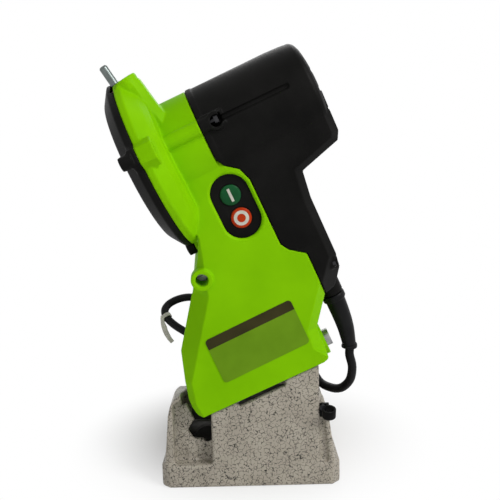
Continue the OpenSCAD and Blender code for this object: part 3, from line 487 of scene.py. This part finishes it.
def turned(profile, sides=96, middle=shaft):
    """A round body along the shaft: a disc that is extruded and resized along its profile."""
    a0, r0 = profile[0]
    bpy.ops.mesh.primitive_circle_add(vertices=sides, radius=r0 * MM, fill_type="NGON",
                                      location=Vector((a0, *middle)) * MM,
                                      rotation=(0, math.pi / 2, 0))
    bpy.ops.object.transform_apply(location=True, rotation=True, scale=True)
    piece = bpy.context.object
    bpy.ops.object.mode_set(mode="EDIT")
    bpy.ops.mesh.select_all(action="SELECT")
    for (a1, r1), (a2, r2) in zip(profile, profile[1:]):
        bpy.ops.mesh.extrude_region_move(TRANSFORM_OT_translate={"value": ((a2 - a1) * MM, 0, 0)})
        bpy.ops.transform.resize(value=(1, r2 / r1, r2 / r1),
                                 center_override=Vector((a2, *middle)) * MM)
    bpy.ops.mesh.select_all(action="SELECT")
    bpy.ops.mesh.normals_make_consistent(inside=False)
    bpy.ops.object.mode_set(mode="OBJECT")
    return piece


def sloped(piece, ends, width, segments=1):
    """Bevels the edges between pairs of points, given on the head's axes."""
    wanted = [tuple(Vector(p) * MM for p in pair) for pair in ends]
    only(piece)
    bpy.ops.object.mode_set(mode="EDIT")
    bpy.ops.mesh.select_mode(type="EDGE")
    bpy.ops.mesh.select_all(action="DESELECT")
    bpy.ops.object.mode_set(mode="OBJECT")
    spots = [v.co for v in piece.data.vertices]
    for edge in piece.data.edges:
        p, q = (spots[i] for i in edge.vertices)
        edge.select = any(min((p - s).length + (q - t).length, (p - t).length + (q - s).length)
                          < 0.1 * MM for s, t in wanted)
    bpy.ops.object.mode_set(mode="EDIT")
    bpy.ops.mesh.bevel(offset=width * MM, segments=segments, affect="EDGES")
    bpy.ops.object.mode_set(mode="OBJECT")


def near_edges(line, picks, side):
    """Edges of an outline on one side, as pairs of points."""
    return [((line[i][0], side, line[i][1]), (line[j][0], side, line[j][1])) for i, j in picks]


def edge_slope(p, q, depth, below, above, hand=1, over=1.2):
    """A three-sided bar that takes off the near edge from p up to q, as deep as wide."""
    run = Vector((q[0] - p[0], 0, q[1] - p[1]))
    up = run.normalized()
    inward = hand * Vector((up.z, 0, -up.x))
    foot = Vector((p[0], near_side, p[1])) - below * up
    toward = Vector((0, depth, 0))
    corners = (foot + (1 + over) * depth * inward - over * toward,
               foot - over * depth * inward + (1 + over) * toward,
               foot - over * depth * inward - over * toward)
    return prism(corners, run + (below + above) * up)


def fading_slope(inset):
    """The wedge that lets the widest slope run out towards the guard."""
    corners = [Vector(p) for p in ((-8, near_side, 67), (-28, -2, 82), (3, near_side, 101.7))]
    out = (corners[2] - corners[0]).cross(corners[1] - corners[0]).normalized()
    out = out if out.y < 0 else -out
    return prism([p - inset * out for p in corners], 25 * out)


def left_draft(p, q, start, inset, draft=0.105, past=3, out=12):
    """A bar that leans the arm's left wall inwards, away from the switch side, as moulds need."""
    run = Vector((q[0] - p[0], 0, q[1] - p[1]))
    up = run.normalized()
    inward = Vector((up.z, 0, -up.x))
    foot = Vector((p[0], start, p[1])) - past * up + inset * inward
    back = Vector((0, far_side + 6 - start, 0))
    corners = (foot, foot + back + draft * back.y * inward, foot + back - out * inward,
               foot - out * inward)
    return prism(corners, run + 2 * past * up)


def slopes(inset):
    """All slanted cuts of the arm's switch side, set in by the thickness of a wall."""
    slant = 1.414
    more = slant * inset
    foot, knee, waist, neck = (-49.2, 11), (-41.3, 39), (-16, 73), (-3, 92)
    return [edge_slope((-49.8, -20), (-49.8, 4), 4.2 + more, 0, 20),
            edge_slope(foot, knee, 4.2 + more, 25, 25),
            edge_slope(knee, waist, 10 + more, 30, 0), fading_slope(inset),
            left_draft(foot, knee, -22.8, inset), left_draft(knee, waist, -17, inset),
            left_draft(waist, neck, -19, inset)]


def on_rim(turn, out=0.0):
    """A point on the guard's rim; 0 is up the arm and 90 the vise side."""
    r = guard_r + out
    return r * math.sin(math.radians(turn)), shaft_c + r * math.cos(math.radians(turn))


def open_sector(low, high):
    """The wedge that opens the guard towards the vise."""
    corners = [(low, *shaft)]
    for turn, reach in ((174, 75), (130, 110), (86, 75)):
        corners.append((low, *on_rim(turn, reach - guard_r)))
    return prism(corners, (high - low, 0, 0))


def stadium(grow, near, far, flare=0.0):
    """The switch's long round form; a flare widens it on its near side."""
    def round_line(r, b):
        return [(button_a + r * math.cos(math.radians(t)), b, c + r * math.sin(math.radians(t)))
                for c, first in ((start_c + 0.9, 0), (stop_c - 0.9, 180))
                for t in range(first, first + 181, 9)]

    plate_r = 11.4
    round_r = plate_r + grow
    piece = prism(round_line(round_r + flare, near), (0, far - near, 0))
    far_ring = [Vector(p) * MM for p in round_line(round_r, far)]
    for vertex in piece.data.vertices:
        if abs(vertex.co.y - far * MM) < 0.01 * MM:
            vertex.co = min(far_ring, key=lambda p: (vertex.co - p).length)
    return piece


def to_place(piece, name, finish, slot, body, *stands_for):
    """Turns a finished piece from the head's axes to its place, and hands it to its body."""
    only(piece)
    piece.matrix_world = to_head
    bpy.ops.object.transform_apply(location=True, rotation=True, scale=True)
    piece.name = name
    coat(piece, finish)
    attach(piece, body)
    if stands_for:
        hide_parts(*stands_for)
    return piece


arm = slab(arm_line, near_side, far_side)
sloped(arm, [((42.5, near_side, -3), (42.5, far_side, -3))], 3.6, 4)
sloped(arm, near_edges(arm_line, ((19, 20), (20, 21)), near_side)
       + [((42.5, near_side, 8), (42.5, near_side, 0.6))], 6.6)
joined(arm, turned([(6, bucket_r), (neck_end, bucket_r)]))
cut(arm, *slopes(0))
hollow = slab(arm_hollow, near_side + wall, far_side - wall)
sloped(hollow, near_edges(arm_hollow, ((19, 20), (20, 21), (21, 22)), near_side + wall), 5.2)
cut(hollow, *slopes(2.8))
cut(arm, hollow, turned([(9, bucket_r - shell), (50, bucket_r - shell)]))
guard = turned([(disc_a + 1, guard_r), (0.9, guard_r), (1.4, 53.1), (7.6, 46.4), (10.4, 41.6),
                (10.4, 20)])
guard_room = [(-10, 51.2), (-1.4, 51.2), (4, 44.4)]
cut(guard, turned(guard_room), open_sector(-12, 11.6), block((-12, -20, 202.3), (12, 20, 212)))
joined(arm, guard, rod("a", 22, 4, 9, shaft), rod("a", 15.5, 6, 18.2, shaft))
for turn in round_lugs:
    joined(arm, rod("a", lug_r, disc_a + 1, 7, on_rim(turn, lug_out), 40))


def near_lug(low, high):
    """The long flat-topped lug for the near screw of the guard."""
    outline = ((272.4, -1.6), (277.6, 4.6), (286.6, 4.6), (291.6, -1.6))
    return prism([(low, *on_rim(turn, out)) for turn, out in outline], (high - low, 0, 0))


joined(arm, near_lug(disc_a + 1, 6.8))
grip_line = [(-1, 188), (-1, 199.4), (10.6, 201), (12.6, 198), (15.4, 182), (18.5, 170), (9, 168),
             (5, 186)]
grip_near, grip_far = -23, -9
grip_boss = slab(grip_line, grip_near, grip_far)
sloped(grip_boss, near_edges(grip_line, ((2, 3), (3, 4), (4, 5)), grip_near), 4.2)
stud_place = (Matrix.Translation(Vector((-1.2, -16, 200.9)) * MM)
              @ Matrix.Rotation(math.radians(-8), 4, "Y"))
grip_cap = rod("c", 7.4, -7.6, 0, (5.6, 0), 48)
grip_cap.data.transform(stud_place)
joined(arm, grip_boss, grip_cap)
joined(arm, rod("b", 6.7, near_side - 2.4, -21, depth_hole),
       rod("b", 5.1, -22, far_side, depth_hole))
joined(arm, rod("a", 10.5, -49, -41, hinge_axis), rod("a", 10.2, 36, 44.6, hinge_axis))
joined(arm, block((16, near_side + 1, 19), (20, 8.6, 25)))
for side in low_sides:
    joined(arm, rod("a", 4, 44, 56.8, (side, low_c)))
for b, c in screw_places:
    joined(arm, rod("a", 4.5, 9, neck_end, (b, c - 0.6)))
cut(arm, turned(guard_room), rod("a", 8, -20, 40, shaft), rod("a", 13, 9.9, 40, shaft),
    block((-60, 10, -20), (70, 50, 14)), rod("a", 5.5, -60, 60, hinge_axis),
    rod("a", 8.2, -60, -45.6, hinge_axis), rod("a", 7.8, 42.4, 60, hinge_axis),
    rod("b", 3.9, near_side - 5, -9, depth_hole), rod("b", 3, -14, far_side + 5, depth_hole),
    rod("a", 5.1, -14, disc_a + 1, on_rim(round_lugs[1], lug_out)), rod("c", 6.3, 15, 43, socket),
    stadium(0.15, near_side - 1, near_side + 4.2),
    stadium(0.15, near_side - 0.5, near_side + 1.1, 1.6))
cut(arm, slab([(45, 78), (48.05, 73.1), (57, 66.1), (80, 66), (80, 160), (32, 160), (32, 140),
               (35.05, 134.5), (42.05, 129.1), (45, 121)], -50, -26.9))
for turn in lug_turns:
    cut(arm, rod("a", 1.5, disc_a, 8, on_rim(turn, lug_out)))
for b, c in screw_places:
    cut(arm, rod("a", 1.6, 24, 34, (b, c)))
for side in low_sides:
    cut(arm, rod("a", 1.6, 45, 58, (side, low_c)))
stud_hole = rod("c", 2.05, -15, 15, (0, 0))
stud_hole.data.transform(stud_place)
cut(arm, stud_hole)
moulded(arm, cell=0.6, rounds=3, most=190000)
lime = mottled("lime_plastic", (0.2, 0.505, 0.0005), (0.228, 0.56, 0.001), cloud=30,
               rough=(0.4, 0.52), grain=2400, lift=0.1, shine=0.03)
to_place(arm, "green_arm", lime, "green_plastic", "head", "arm_housing")

# Bushes of the hinge: two short sleeves pressed into the arm's bosses, which the bolt turns in.
# Sintered bronze, pressed in and reamed.
bronze = mottled("sintered_bronze", (0.25, 0.15, 0.06), (0.36, 0.22, 0.09), cloud=300,
                 rough=(0.35, 0.55), grain=2600, lift=0.15, metal=0.9)
coat(nodes["hinge_bushes"], bronze)

# Motor: a stack of stator plates with its coils, two brushes, and the rotor with its windings,
# commutator and fan on one shaft in two ball bearings. Stamped, wound and pressed together.
def banded(name, dark, light, pitch, rough, metal):
    """Thin layers across the shaft, as stacked plates or wound wire show."""
    mat, tree, links, shader = new_finish(name)
    shader.inputs["Metallic"].default_value = metal
    place = added(tree, "TexCoord")
    turn = added(tree, "Mapping", Rotation=(0, -tilt, 0))
    turn.vector_type = "TEXTURE"
    layers = added(tree, "TexWave", Scale=0.314 / (pitch * MM), Distortion=0.6, Detail=1)
    tones = two_tones(tree, dark, light, 0.15, 0.6)
    gloss = added(tree, "MapRange", To_Min=rough[1], To_Max=rough[0])
    links.new(place.outputs["Object"], turn.inputs["Vector"])
    links.new(turn.outputs["Vector"], layers.inputs["Vector"])
    links.new(layers.outputs["Fac"], tones.inputs["Fac"])
    links.new(tones.outputs["Color"], shader.inputs["Base Color"])
    links.new(layers.outputs["Fac"], gloss.inputs["Value"])
    links.new(gloss.outputs["Result"], shader.inputs["Roughness"])
    embossed(tree, links, shader, layers.outputs["Fac"], 0.3)
    return mat


plates = banded("stacked_plates", (0.05, 0.05, 0.055), (0.2, 0.2, 0.21), pitch=0.5,
                rough=(0.35, 0.6), metal=0.9)
windings = banded("enamelled_copper", (0.09, 0.025, 0.008), (0.36, 0.13, 0.035), pitch=0.7,
                  rough=(0.25, 0.45), metal=0.4)
copper = banded("bar_copper", (0.2, 0.08, 0.04), (0.55, 0.25, 0.13), pitch=2.2,
                rough=(0.25, 0.4), metal=0.9)
brass = mottled("drawn_brass", (0.36, 0.25, 0.07), (0.5, 0.36, 0.12), cloud=200, rough=(0.25, 0.4),
                grain=1800, lift=0.05, metal=1.0)
carbon = mottled("pressed_carbon", (0.012, 0.012, 0.012), (0.03, 0.03, 0.03), cloud=300,
                 rough=(0.5, 0.7), grain=3000, lift=0.15)
fan_black = mottled("fan_plastic", (0.01, 0.01, 0.011), (0.02, 0.02, 0.021), cloud=80,
                    rough=(0.4, 0.55), grain=2000, lift=0.08)
for name, finish in (("stator_core", plates), ("rotor_core", plates), ("field_coils", windings),
                     ("rotor_windings", windings), ("commutator", copper), ("brush_holders", brass),
                     ("carbon_brushes", carbon), ("cooling_fan", fan_black), ("motor_shaft", zinc),
                     ("front_bearing", zinc), ("rear_bearing", zinc)):
    coat(nodes[name], finish)

# Motor housing: the black half of the head, a deep bucket for the motor with the back of the arm
# and the socket of the lead. Injection moulded, domed at its end, held by four screws.
rear_line = [(32.1, 151), (32.1, 140.1), (35.1, 134.6), (42.1, 129.2), (45.1, 121), (45.1, 78.1),
             (48.1, 73.2), (57.1, 66.2), (57.1, 36), (64, 36), (68.4, 41), (72, 46.4), (73, 53),
             (73, 95), (75, 111.4), (100.8, 118.9), (103.4, 124), (103.4, 151)]
rear_hollow = [(31, 151), (31, 139), (34, 133), (40, 127), (42, 120), (42, 77), (47, 70), (56, 63),
               (58.4, 62), (58.6, 38.5), (64.8, 38), (69.6, 43.2), (70.3, 50.5), (70.5, 95),
               (72.8, 114), (97.6, 121.4), (98.6, 124), (98.6, 151)]
rear_edges = [(k, k + 1) for k in range(11, 17)]
heel = ((65.7, 38.3), (76.9, 52.4))
seam_side = [(-60, -20), (-60, 140), (32, 140), (35.05, 134.5), (42.05, 129.1), (45, 121), (45, 78),
             (48.05, 73.1), (57, 66.1), (57, -20)]
bucket = turned([(32.1, 31.5), (35.4, 31.5), (36, 31), (84, 31), (92.6, 30.6), (98.6, 30),
                 (100.6, 28.7), (102, 26), (102.9, 22), (103.5, 14), (103.7, 6)])
motor = slab(rear_line, near_side, far_side)
sloped(motor, near_edges(rear_line, rear_edges, near_side), 5)
cut(motor, edge_slope(*heel, 10.8, 30, 10, -1))
joined(motor, bucket)
rear_room = slab(rear_hollow, near_side + wall, far_side - wall)
sloped(rear_room, near_edges(rear_hollow, rear_edges, near_side + wall), 4.6)
cut(rear_room, edge_slope(*heel, 14.4, 30, 10, -1))
cut(motor, rear_room,
    turned([(31, bucket_r - shell), (84, bucket_r - shell), (99.4, bucket_r - 5)]))
bearing_seat = rod("a", 14, 83, 101, shaft)
cut(bearing_seat, rod("a", 11, 82, 92, shaft))
joined(motor, bearing_seat, rod("c", 7.4, 27, 42, socket))
collar_a, collar_drop, channel_end = 41.8, 0.8, 85.5


def outwards(b, start, end):
    """Two places across the head on the side of b, the lower one first."""
    return sorted((math.copysign(start, b), math.copysign(end, b)))


for b, c in screw_places:
    collar = rod("b", 5.4, *outwards(b, 27.4, 33.2), (collar_a, c - collar_drop))
    cut(collar, block((44.6, -40, c - 9), (60, 40, c + 9)))
    screw_seat = rod("a", 4.8, 34, 46.5, (b, c))
    low, high = outwards(b, 31, 40)
    cut(screw_seat, block((30, low, c - 9), (60, high, c + 9)))
    joined(motor, rod("a", 4.5, 32.1, 41, (b, c - 0.6)), collar, screw_seat)
for side in low_sides:
    joined(motor, rod("a", 4, 57, 72, (side, low_c)))
cut(motor, rod("a", 11, 82, 92, shaft), rod("c", 6.05, 20, 40.5, socket))
for b, c in screw_places:
    low, high = outwards(b, 27.7, 37)
    cut(motor, rod("a", 1.9, 30, 44, (b, c)), rod("a", 3.4, 41, 45.2, (b, c)),
        rod("b", 3.4, low, high, (collar_a, c - collar_drop)),
        block((42, low, c - 2.3), (channel_end, high, c + 0.7)),
        rod("b", 1.5, low, high, (channel_end, c - collar_drop), 24))
for side in low_sides:
    cut(motor, rod("a", 1.9, 50, 80, (side, low_c)), rod("a", 3.6, 68, 80, (side, low_c)))
cut(motor, slab(seam_side, -45, 45))
for side in (-6.6, 6.6):
    cut(motor, rod("a", 1.5, 57.8, 62, (side, 47)))
for turn in range(0, 360, 30):
    slot_cut = block((97, -1.2, 17), (106, 1.2, 25.5))
    slot_cut.data.transform(Matrix.Translation((0, 0, shaft_c * MM))
                            @ Matrix.Rotation(math.radians(turn), 4, "X"))
    cut(motor, slot_cut)
moulded(motor, cell=0.6, rounds=3, most=190000)
to_place(motor, "black_motor_housing", black_grain, "black_plastic", "head", "motor_housing")
coat(nodes["housing_screws"], black_zinc)

# Disc: a thin vitrified wheel with a rounded rim, clamped between two flanges by a nut on the
# shaft. Pressed pink abrasive grit, sized to 100 mm.
def grit_bond(name, dark, light):
    """Sharp grains of two tones in a dull bond."""
    mat, tree, links, shader = new_finish(name)
    shader.inputs["Specular IOR Level"].default_value = 0.3
    shader.inputs["Roughness"].default_value = 0.85
    place = added(tree, "TexCoord")
    grains = added(tree, "TexVoronoi", Scale=1900)
    split = added(tree, "SeparateColor")
    tones = two_tones(tree, dark, light)
    links.new(place.outputs["Object"], grains.inputs["Vector"])
    links.new(grains.outputs["Color"], split.inputs["Color"])
    links.new(split.outputs["Red"], tones.inputs["Fac"])
    links.new(tones.outputs["Color"], shader.inputs["Base Color"])
    embossed(tree, links, shader, grains.outputs["Distance"], 0.5)
    return mat


disc_t, disc_r = 3.2, 50
disc_left, disc_right = disc_a - disc_t / 2, disc_a + disc_t / 2
disc = turned([(disc_left, 49), (disc_left + 0.5, 49.7), (disc_a - 0.5, disc_r),
               (disc_a + 0.5, disc_r), (disc_right - 0.5, 49.7), (disc_right, 49)], 128)
cut(disc, rod("a", 5, -20, 20, shaft))
only(disc)
bpy.ops.object.shade_smooth_by_angle(angle=math.radians(30))
pink_grit = grit_bond("pink_grit", (0.3, 0.12, 0.08), (0.6, 0.34, 0.25))
to_place(disc, "abrasive_disc", pink_grit, "abrasive", "spindle", "grinding_disc")
for name in ("inner_flange", "outer_flange", "spindle_nut"):
    coat(nodes[name], zinc)

# Guard cover: the outer half of the disc guard, a dished black shell with three screw bosses.
# Injection moulded, open towards the vise, screwed to the green half.
cover_end = disc_a + 0.9
cover = turned([(-13.5, 43.5), (-12.6, 45.2), (-7.4, 52.5), (-6.6, 53.2), (cover_end, guard_r)])
for turn in round_lugs:
    joined(cover, rod("a", lug_r, -8.6, cover_end, on_rim(turn, lug_out), 40))
joined(cover, near_lug(-7.6, cover_end),
       rod("a", 3.9, -13.2, -6, on_rim(near_turn, lug_out), 40, 4.6))
cut(cover, turned([(-11.2, 41), (-10.9, 43), (-6.9, 50.4), (-6.3, 51.2), (-2, 51.2)]),
    open_sector(-20, 3), slab([(-5.1, 190), (0.9, 190), (0.9, 210), (-5.1, 210)], -23.3, -8.7),
    block((-20, -20, 202.3), (10, 20, 212)))
for turn in lug_turns:
    cut(cover, rod("a", 1.7, -14, 3, on_rim(turn, lug_out)),
        rod("a", 3.1, -20, -6.4, on_rim(turn, lug_out)))
moulded(cover, cell=0.6, rounds=3, most=150000)
to_place(cover, "black_guard_cover", black_grain, "black_plastic", "head", "guard_cover")
coat(nodes["guard_screws"], zinc)

# Stud for the grip: a bare M5 thread that stands out of the boss above the neck.
# Zinc plated steel, cut to length, with a small chamfer and a rolled thread.
pitch, thread_count = 0.8, 14
turns = [(0.1 + pitch * k + d, r) for k in range(thread_count)
         for d, r in ((0.0, 2.44), (0.3, 2.5), (0.5, 2.5))]
thread = turned([(-1.6, 1.95), (0, 1.95)] + turns + [(11.7, 2.1), (12, 1.6)], 32, (0, 0))
thread.data.transform(stud_place @ Matrix.Rotation(-math.pi / 2, 4, "Y"))
only(thread)
bpy.ops.object.shade_smooth_by_angle(angle=math.radians(25))
stud_steel = mottled("stud_steel", (0.09, 0.105, 0.1), (0.15, 0.17, 0.165), cloud=220,
                     rough=(0.3, 0.45), grain=1800, lift=0.05, metal=1.0)
to_place(thread, "grip_stud", stud_steel, "zinc_steel", "head", "handle_stud")

# Label: a bare two-tone film plate stuck below the switches, dark along its top.
# Printed polyester with rounded corners, two films side by side on one backing.
film_front, film_back = near_side - 0.33, near_side - 0.01


def film(outline, corners):
    """A thin film with some of its corners rounded."""
    piece = slab(outline, film_front, film_back)
    places = [outline[i] for i in corners]
    sloped(piece, [((a, film_front, c), (a, film_back, c)) for a, c in places], 2.4, 5)
    bpy.ops.object.shade_smooth_by_angle(angle=math.radians(30))
    return piece


field_film = mottled("green_film", (0.125, 0.26, 0.006), (0.15, 0.3, 0.009), cloud=60,
                     rough=(0.34, 0.46), grain=1500, lift=0.03, shine=0.08)
band_film = mottled("olive_film", (0.032, 0.028, 0.008), (0.045, 0.038, 0.012), cloud=60,
                    rough=(0.34, 0.46), grain=1500, lift=0.03, shine=0.08)
field = film([(-23.4, 12.2), (35.6, 13.6), (35.78, 37.6), (-22.6, 36.6)], (0, 1))
to_place(field, "label_field", field_film, "label_film", "head", "label_plate")
top_band = film([(-22.6, 36.62), (35.78, 37.62), (35.8, 44.4), (-22.4, 43.2)], (2, 3))
to_place(top_band, "label_band", band_film, "label_film", "head")

# Switch: a flat black plate sunk into the arm, two round buttons in it and the contact block
# behind. Moulded plastic; the buttons carry a plain bar and a plain ring, printed in off-white.
plate = stadium(0, near_side + 1.9, near_side + 3.8)
for c in (start_c, stop_c):
    cut(plate, rod("b", 6.4, near_side - 2, near_side + 6, (button_a, c)))
broken_edges(plate, 0.25, limit=40, smooth=35)
to_place(plate, "switch_plate", black_grain, "black_plastic", "head", "switch_bezel")
coat(nodes["switch_body"], fan_black)
off_white = mottled("mark_ink", (0.5, 0.48, 0.42), (0.6, 0.58, 0.52), cloud=200, rough=(0.5, 0.6),
                    grain=2000, lift=0.05, shine=0.2)
button_front, crown = near_side + 1.0, 1.03
mark_front, mark_back = button_front - 0.12, button_front + 0.4


def button_cap(c):
    """A round button: a slightly crowned cap on a narrower stem."""
    piece = turned([(-8.4, 4.9), (-1.7, 4.9), (-1.7, 6.1), (0.5, 6.1), (0.85, 5.8), (0.97, 5.2),
                    (1.02, 3), (crown, 1)], 64, (0, 0))
    piece.data.transform(Matrix.Translation(Vector((button_a, button_front + crown, c)) * MM)
                         @ Matrix.Rotation(-math.pi / 2, 4, "Z"))
    only(piece)
    bpy.ops.object.shade_smooth_by_angle(angle=math.radians(40))
    return piece


deep_green = mottled("green_button", (0.006, 0.06, 0.018), (0.009, 0.085, 0.027), cloud=90,
                     rough=(0.3, 0.42), grain=2000, lift=0.05, shine=0.08)
brick_red = mottled("red_button", (0.36, 0.026, 0.003), (0.46, 0.035, 0.005), cloud=90,
                    rough=(0.3, 0.42), grain=2000, lift=0.05, shine=0.08)
to_place(button_cap(start_c), "on_button", deep_green, "green_button", "start", "start_button")
to_place(button_cap(stop_c), "off_button", brick_red, "red_button", "stop", "stop_button")
bar = block((button_a - 0.8, mark_front, start_c - 4), (button_a + 0.8, mark_back, start_c + 4))
worked(bar, "BEVEL", width=0.08 * MM, segments=2)
to_place(bar, "on_mark", off_white, "green_button", "start")
ring = rod("b", 4.5, mark_front, mark_back, (button_a, stop_c), 48)
cut(ring, rod("b", 2.55, button_front - 2, button_front + 2, (button_a, stop_c), 48))
worked(ring, "BEVEL", width=0.08 * MM, segments=2, limit_method="ANGLE")
to_place(ring, "off_mark", off_white, "red_button", "stop")

# Depth stop: a slotted screw through the round boss of the arm, locked by a nut on the far side.
# Zinc plated steel; its end meets the post on the deck.
for name in ("depth_stop_screw", "depth_stop_nut"):
    coat(nodes[name], zinc)

# Mains lead: two-core PVC lead of 6 mm, clamped in the head, through a tapered rubber relief, round
# the back of the arm in one tied loop, then down to the bench and into a tied coil behind the base.
lead_r, lead_sides = 3, 5
coil_x, coil_y, coil_z = -12, 142, 4
coil_r, coil_step, coil_turns, layer_turn, turn_stops = 42.75, 6.6, 6.5, 3, 24
lead_stops = [to_head @ (Vector(p) * MM) / MM
              for p in ((56.6, 0, -14.9), (54.9, 0, -18.8))]
lead_stops += [Vector(p) for p in (
    (69.8, -58.5, 68), (68.8, -54, 57.4), (63.4, -48.5, 50), (56.5, -42.5, 48.6),
    (49.5, -35, 51.2), (43.5, -23, 61.5), (37, -12.5, 69.5), (26, -3, 70), (4, 2, 69.2),
    (-18, 2, 69.2), (-31, 2, 70.8), (-41, 2, 75.6), (-47.6, 2, 79.4), (-53, 3, 82.5),
    (-58.4, 5, 86.1), (-62.9, 8, 90.2), (-64.5, 12, 94.1), (-63.1, 15.5, 97.2),
    (-59.4, 18, 99.8), (-52.4, 19.8, 102.2), (-43.8, 20.8, 102.6), (-35, 21.4, 98.6),
    (-27, 22, 89), (-19, 22.75, 79.5), (-9, 22.75, 73.6), (3, 22.6, 70.6), (18, 22.4, 69.6),
    (30, 23, 69.6), (40, 25, 70), (45, 27.5, 69), (48.6, 30.5, 64.5), (49.9, 33, 56),
    (49.9, 37, 38), (50.2, 45, 20), (51.5, 57, 7.5), (51.8, 70, 3.3), (51, 84, 3.3),
    (46, 94, 3.3), (36, 98.6, 3.3), (20, 99.6, 3.5), (4, 99.3, 3.8),
    (coil_x, coil_y - coil_r, coil_z))]


def smooth_route(stops, steps):
    """Points on a rounded line through the stops."""
    ends = [2 * stops[0] - stops[1], *stops, 2 * stops[-1] - stops[-2]]
    line = []
    for p, q, r, s in zip(ends, ends[1:], ends[2:], ends[3:]):
        for k in range(steps):
            t = k / steps
            line.append(0.5 * (2 * q + (r - p) * t + (2 * p - 5 * q + 4 * r - s) * t * t
                               + (3 * q - p - 3 * r + s) * t ** 3))
    return line + [stops[-1]]


def coil_point(t):
    """A point of the coil after t turns: inwards on the bench, then outwards on the first layer."""
    r = coil_r - coil_step * min(t, coil_turns - t)
    turn = math.radians(360 * t - 90)
    rise = coil_step * min(max((t - layer_turn) * 2, 0), 1)
    return Vector((coil_x - r * math.cos(turn), coil_y + r * math.sin(turn), coil_z + rise))


coil_line = [coil_point(k / turn_stops) for k in range(1, int(coil_turns * turn_stops) + 1)]
tail_line = [Vector((coil_x + d, coil_y + coil_r, z)) for d, z in ((12, 10), (24, 8.2), (36, 7))]
lead_route = [p * MM for p in smooth_route(lead_stops, 4) + coil_line + tail_line]


def handed(piece, finish, slot, body, *stands_for):
    """Gives a piece that lies in place its finish and body; the slot is not used."""
    coat(piece, finish)
    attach(piece, body)
    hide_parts(*stands_for)
    return piece


black_pvc = mottled("black_pvc", (0.005, 0.005, 0.0055), (0.009, 0.009, 0.0095), cloud=60,
                    rough=(0.36, 0.52), grain=1500, lift=0.06, shine=0.1)
lead = tube("mains_lead", lead_route, lead_r, lead_sides)
coat(lead, black_pvc)
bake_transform(lead)
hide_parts("cord_lead", "cord_coil")
inner_stops = [to_head @ (Vector(p) * MM) for p in (
    (62.4, 0, 54), (62.4, 0, 44), (socket_a, 0, 34), (socket_a, 0, 22), (socket_a, 0, 14),
    (60.6, 0, 2), (58.6, 0, -9), (56.8, 0, -14.4))]
inner_lead = tube("lead_in_head", smooth_route(inner_stops, 4), lead_r, lead_sides)
handed(inner_lead, black_pvc, "black_rubber", "head", "cord_tail")
sleeve = ((61.6, 39.5, 5.4), (61.6, 39, 6), (61.6, 26.4, 6), (61.6, 26.2, 7.2), (61.6, 25.6, 7.6),
          (61.6, 22.6, 7.6), (61.6, 22, 7.2), (61.6, 21.8, 6.4), (61.5, 18, 6.35), (61.3, 12, 6.1),
          (60.9, 6, 5.8), (60.2, 0, 5.4), (59.2, -5, 5.0), (58.1, -10, 4.55), (57.8, -11.2, 4.5),
          (57.75, -11.4, 5.0), (57.6, -11.9, 5.25), (57.2, -13, 5.25), (57.05, -13.4, 5.0),
          (57, -13.5, 4.2))
relief = tube("lead_relief", [to_head @ (Vector((a, 0, c)) * MM) for a, c, r in sleeve],
              [r for a, c, r in sleeve], 9)
handed(relief, black_pvc, "black_rubber", "head", "strain_relief")
coat(nodes["cord_anchor"], fan_black)
coat(nodes["anchor_screws"], zinc)

# Ties and plug: a pale twist tie round the loop with its end hanging down, a black band round the
# coil, and a flat two-pin plug moulded onto the lead's end. The plug has brass pins.
tie_white = mottled("pale_tie", (0.56, 0.53, 0.48), (0.68, 0.65, 0.59), cloud=150,
                    rough=(0.4, 0.55), grain=1800, lift=0.08, shine=0.3)
tie_turn = Vector((-6.2, 7, 8)).to_track_quat("Z", "Y").to_matrix().to_4x4()
band = rod("c", 4.0, -1.4, 1.4, (0, 0), 40)
cut(band, rod("c", 3.15, -4, 4, (0, 0), 40))
band.data.transform(Matrix.Translation(Vector((-62.9, 8, 90.2)) * MM) @ tie_turn)
strip = slab([(-66.8, 92), (-67.05, 90), (-67, 88), (-66.9, 85.5), (-66.5, 83), (-65.6, 79.6),
              (-64.2, 76.4), (-62.2, 73.2), (-59.8, 70.2), (-57.4, 72), (-59.4, 74.8), (-60.9, 78),
              (-62, 80.6), (-62.6, 83.4), (-63.4, 85), (-64.2, 87), (-64.6, 92)], 4.2, 5.4)
joined(band, strip)
broken_edges(band, 0.3, limit=50, smooth=35)
band.name = "loop_tie"
handed(band, tie_white, "tie_plastic", "base", "cord_tie")
coil_band = eased("coil_tie", 0.2, black_grain, "base")
plug = moulded(copy_of("mains_plug"), cell=0.5, rounds=4, most=60000)
plug.name = "flat_plug"
handed(plug, black_pvc, "black_rubber", "base", "mains_plug")
coat(nodes["plug_pins"], brass)
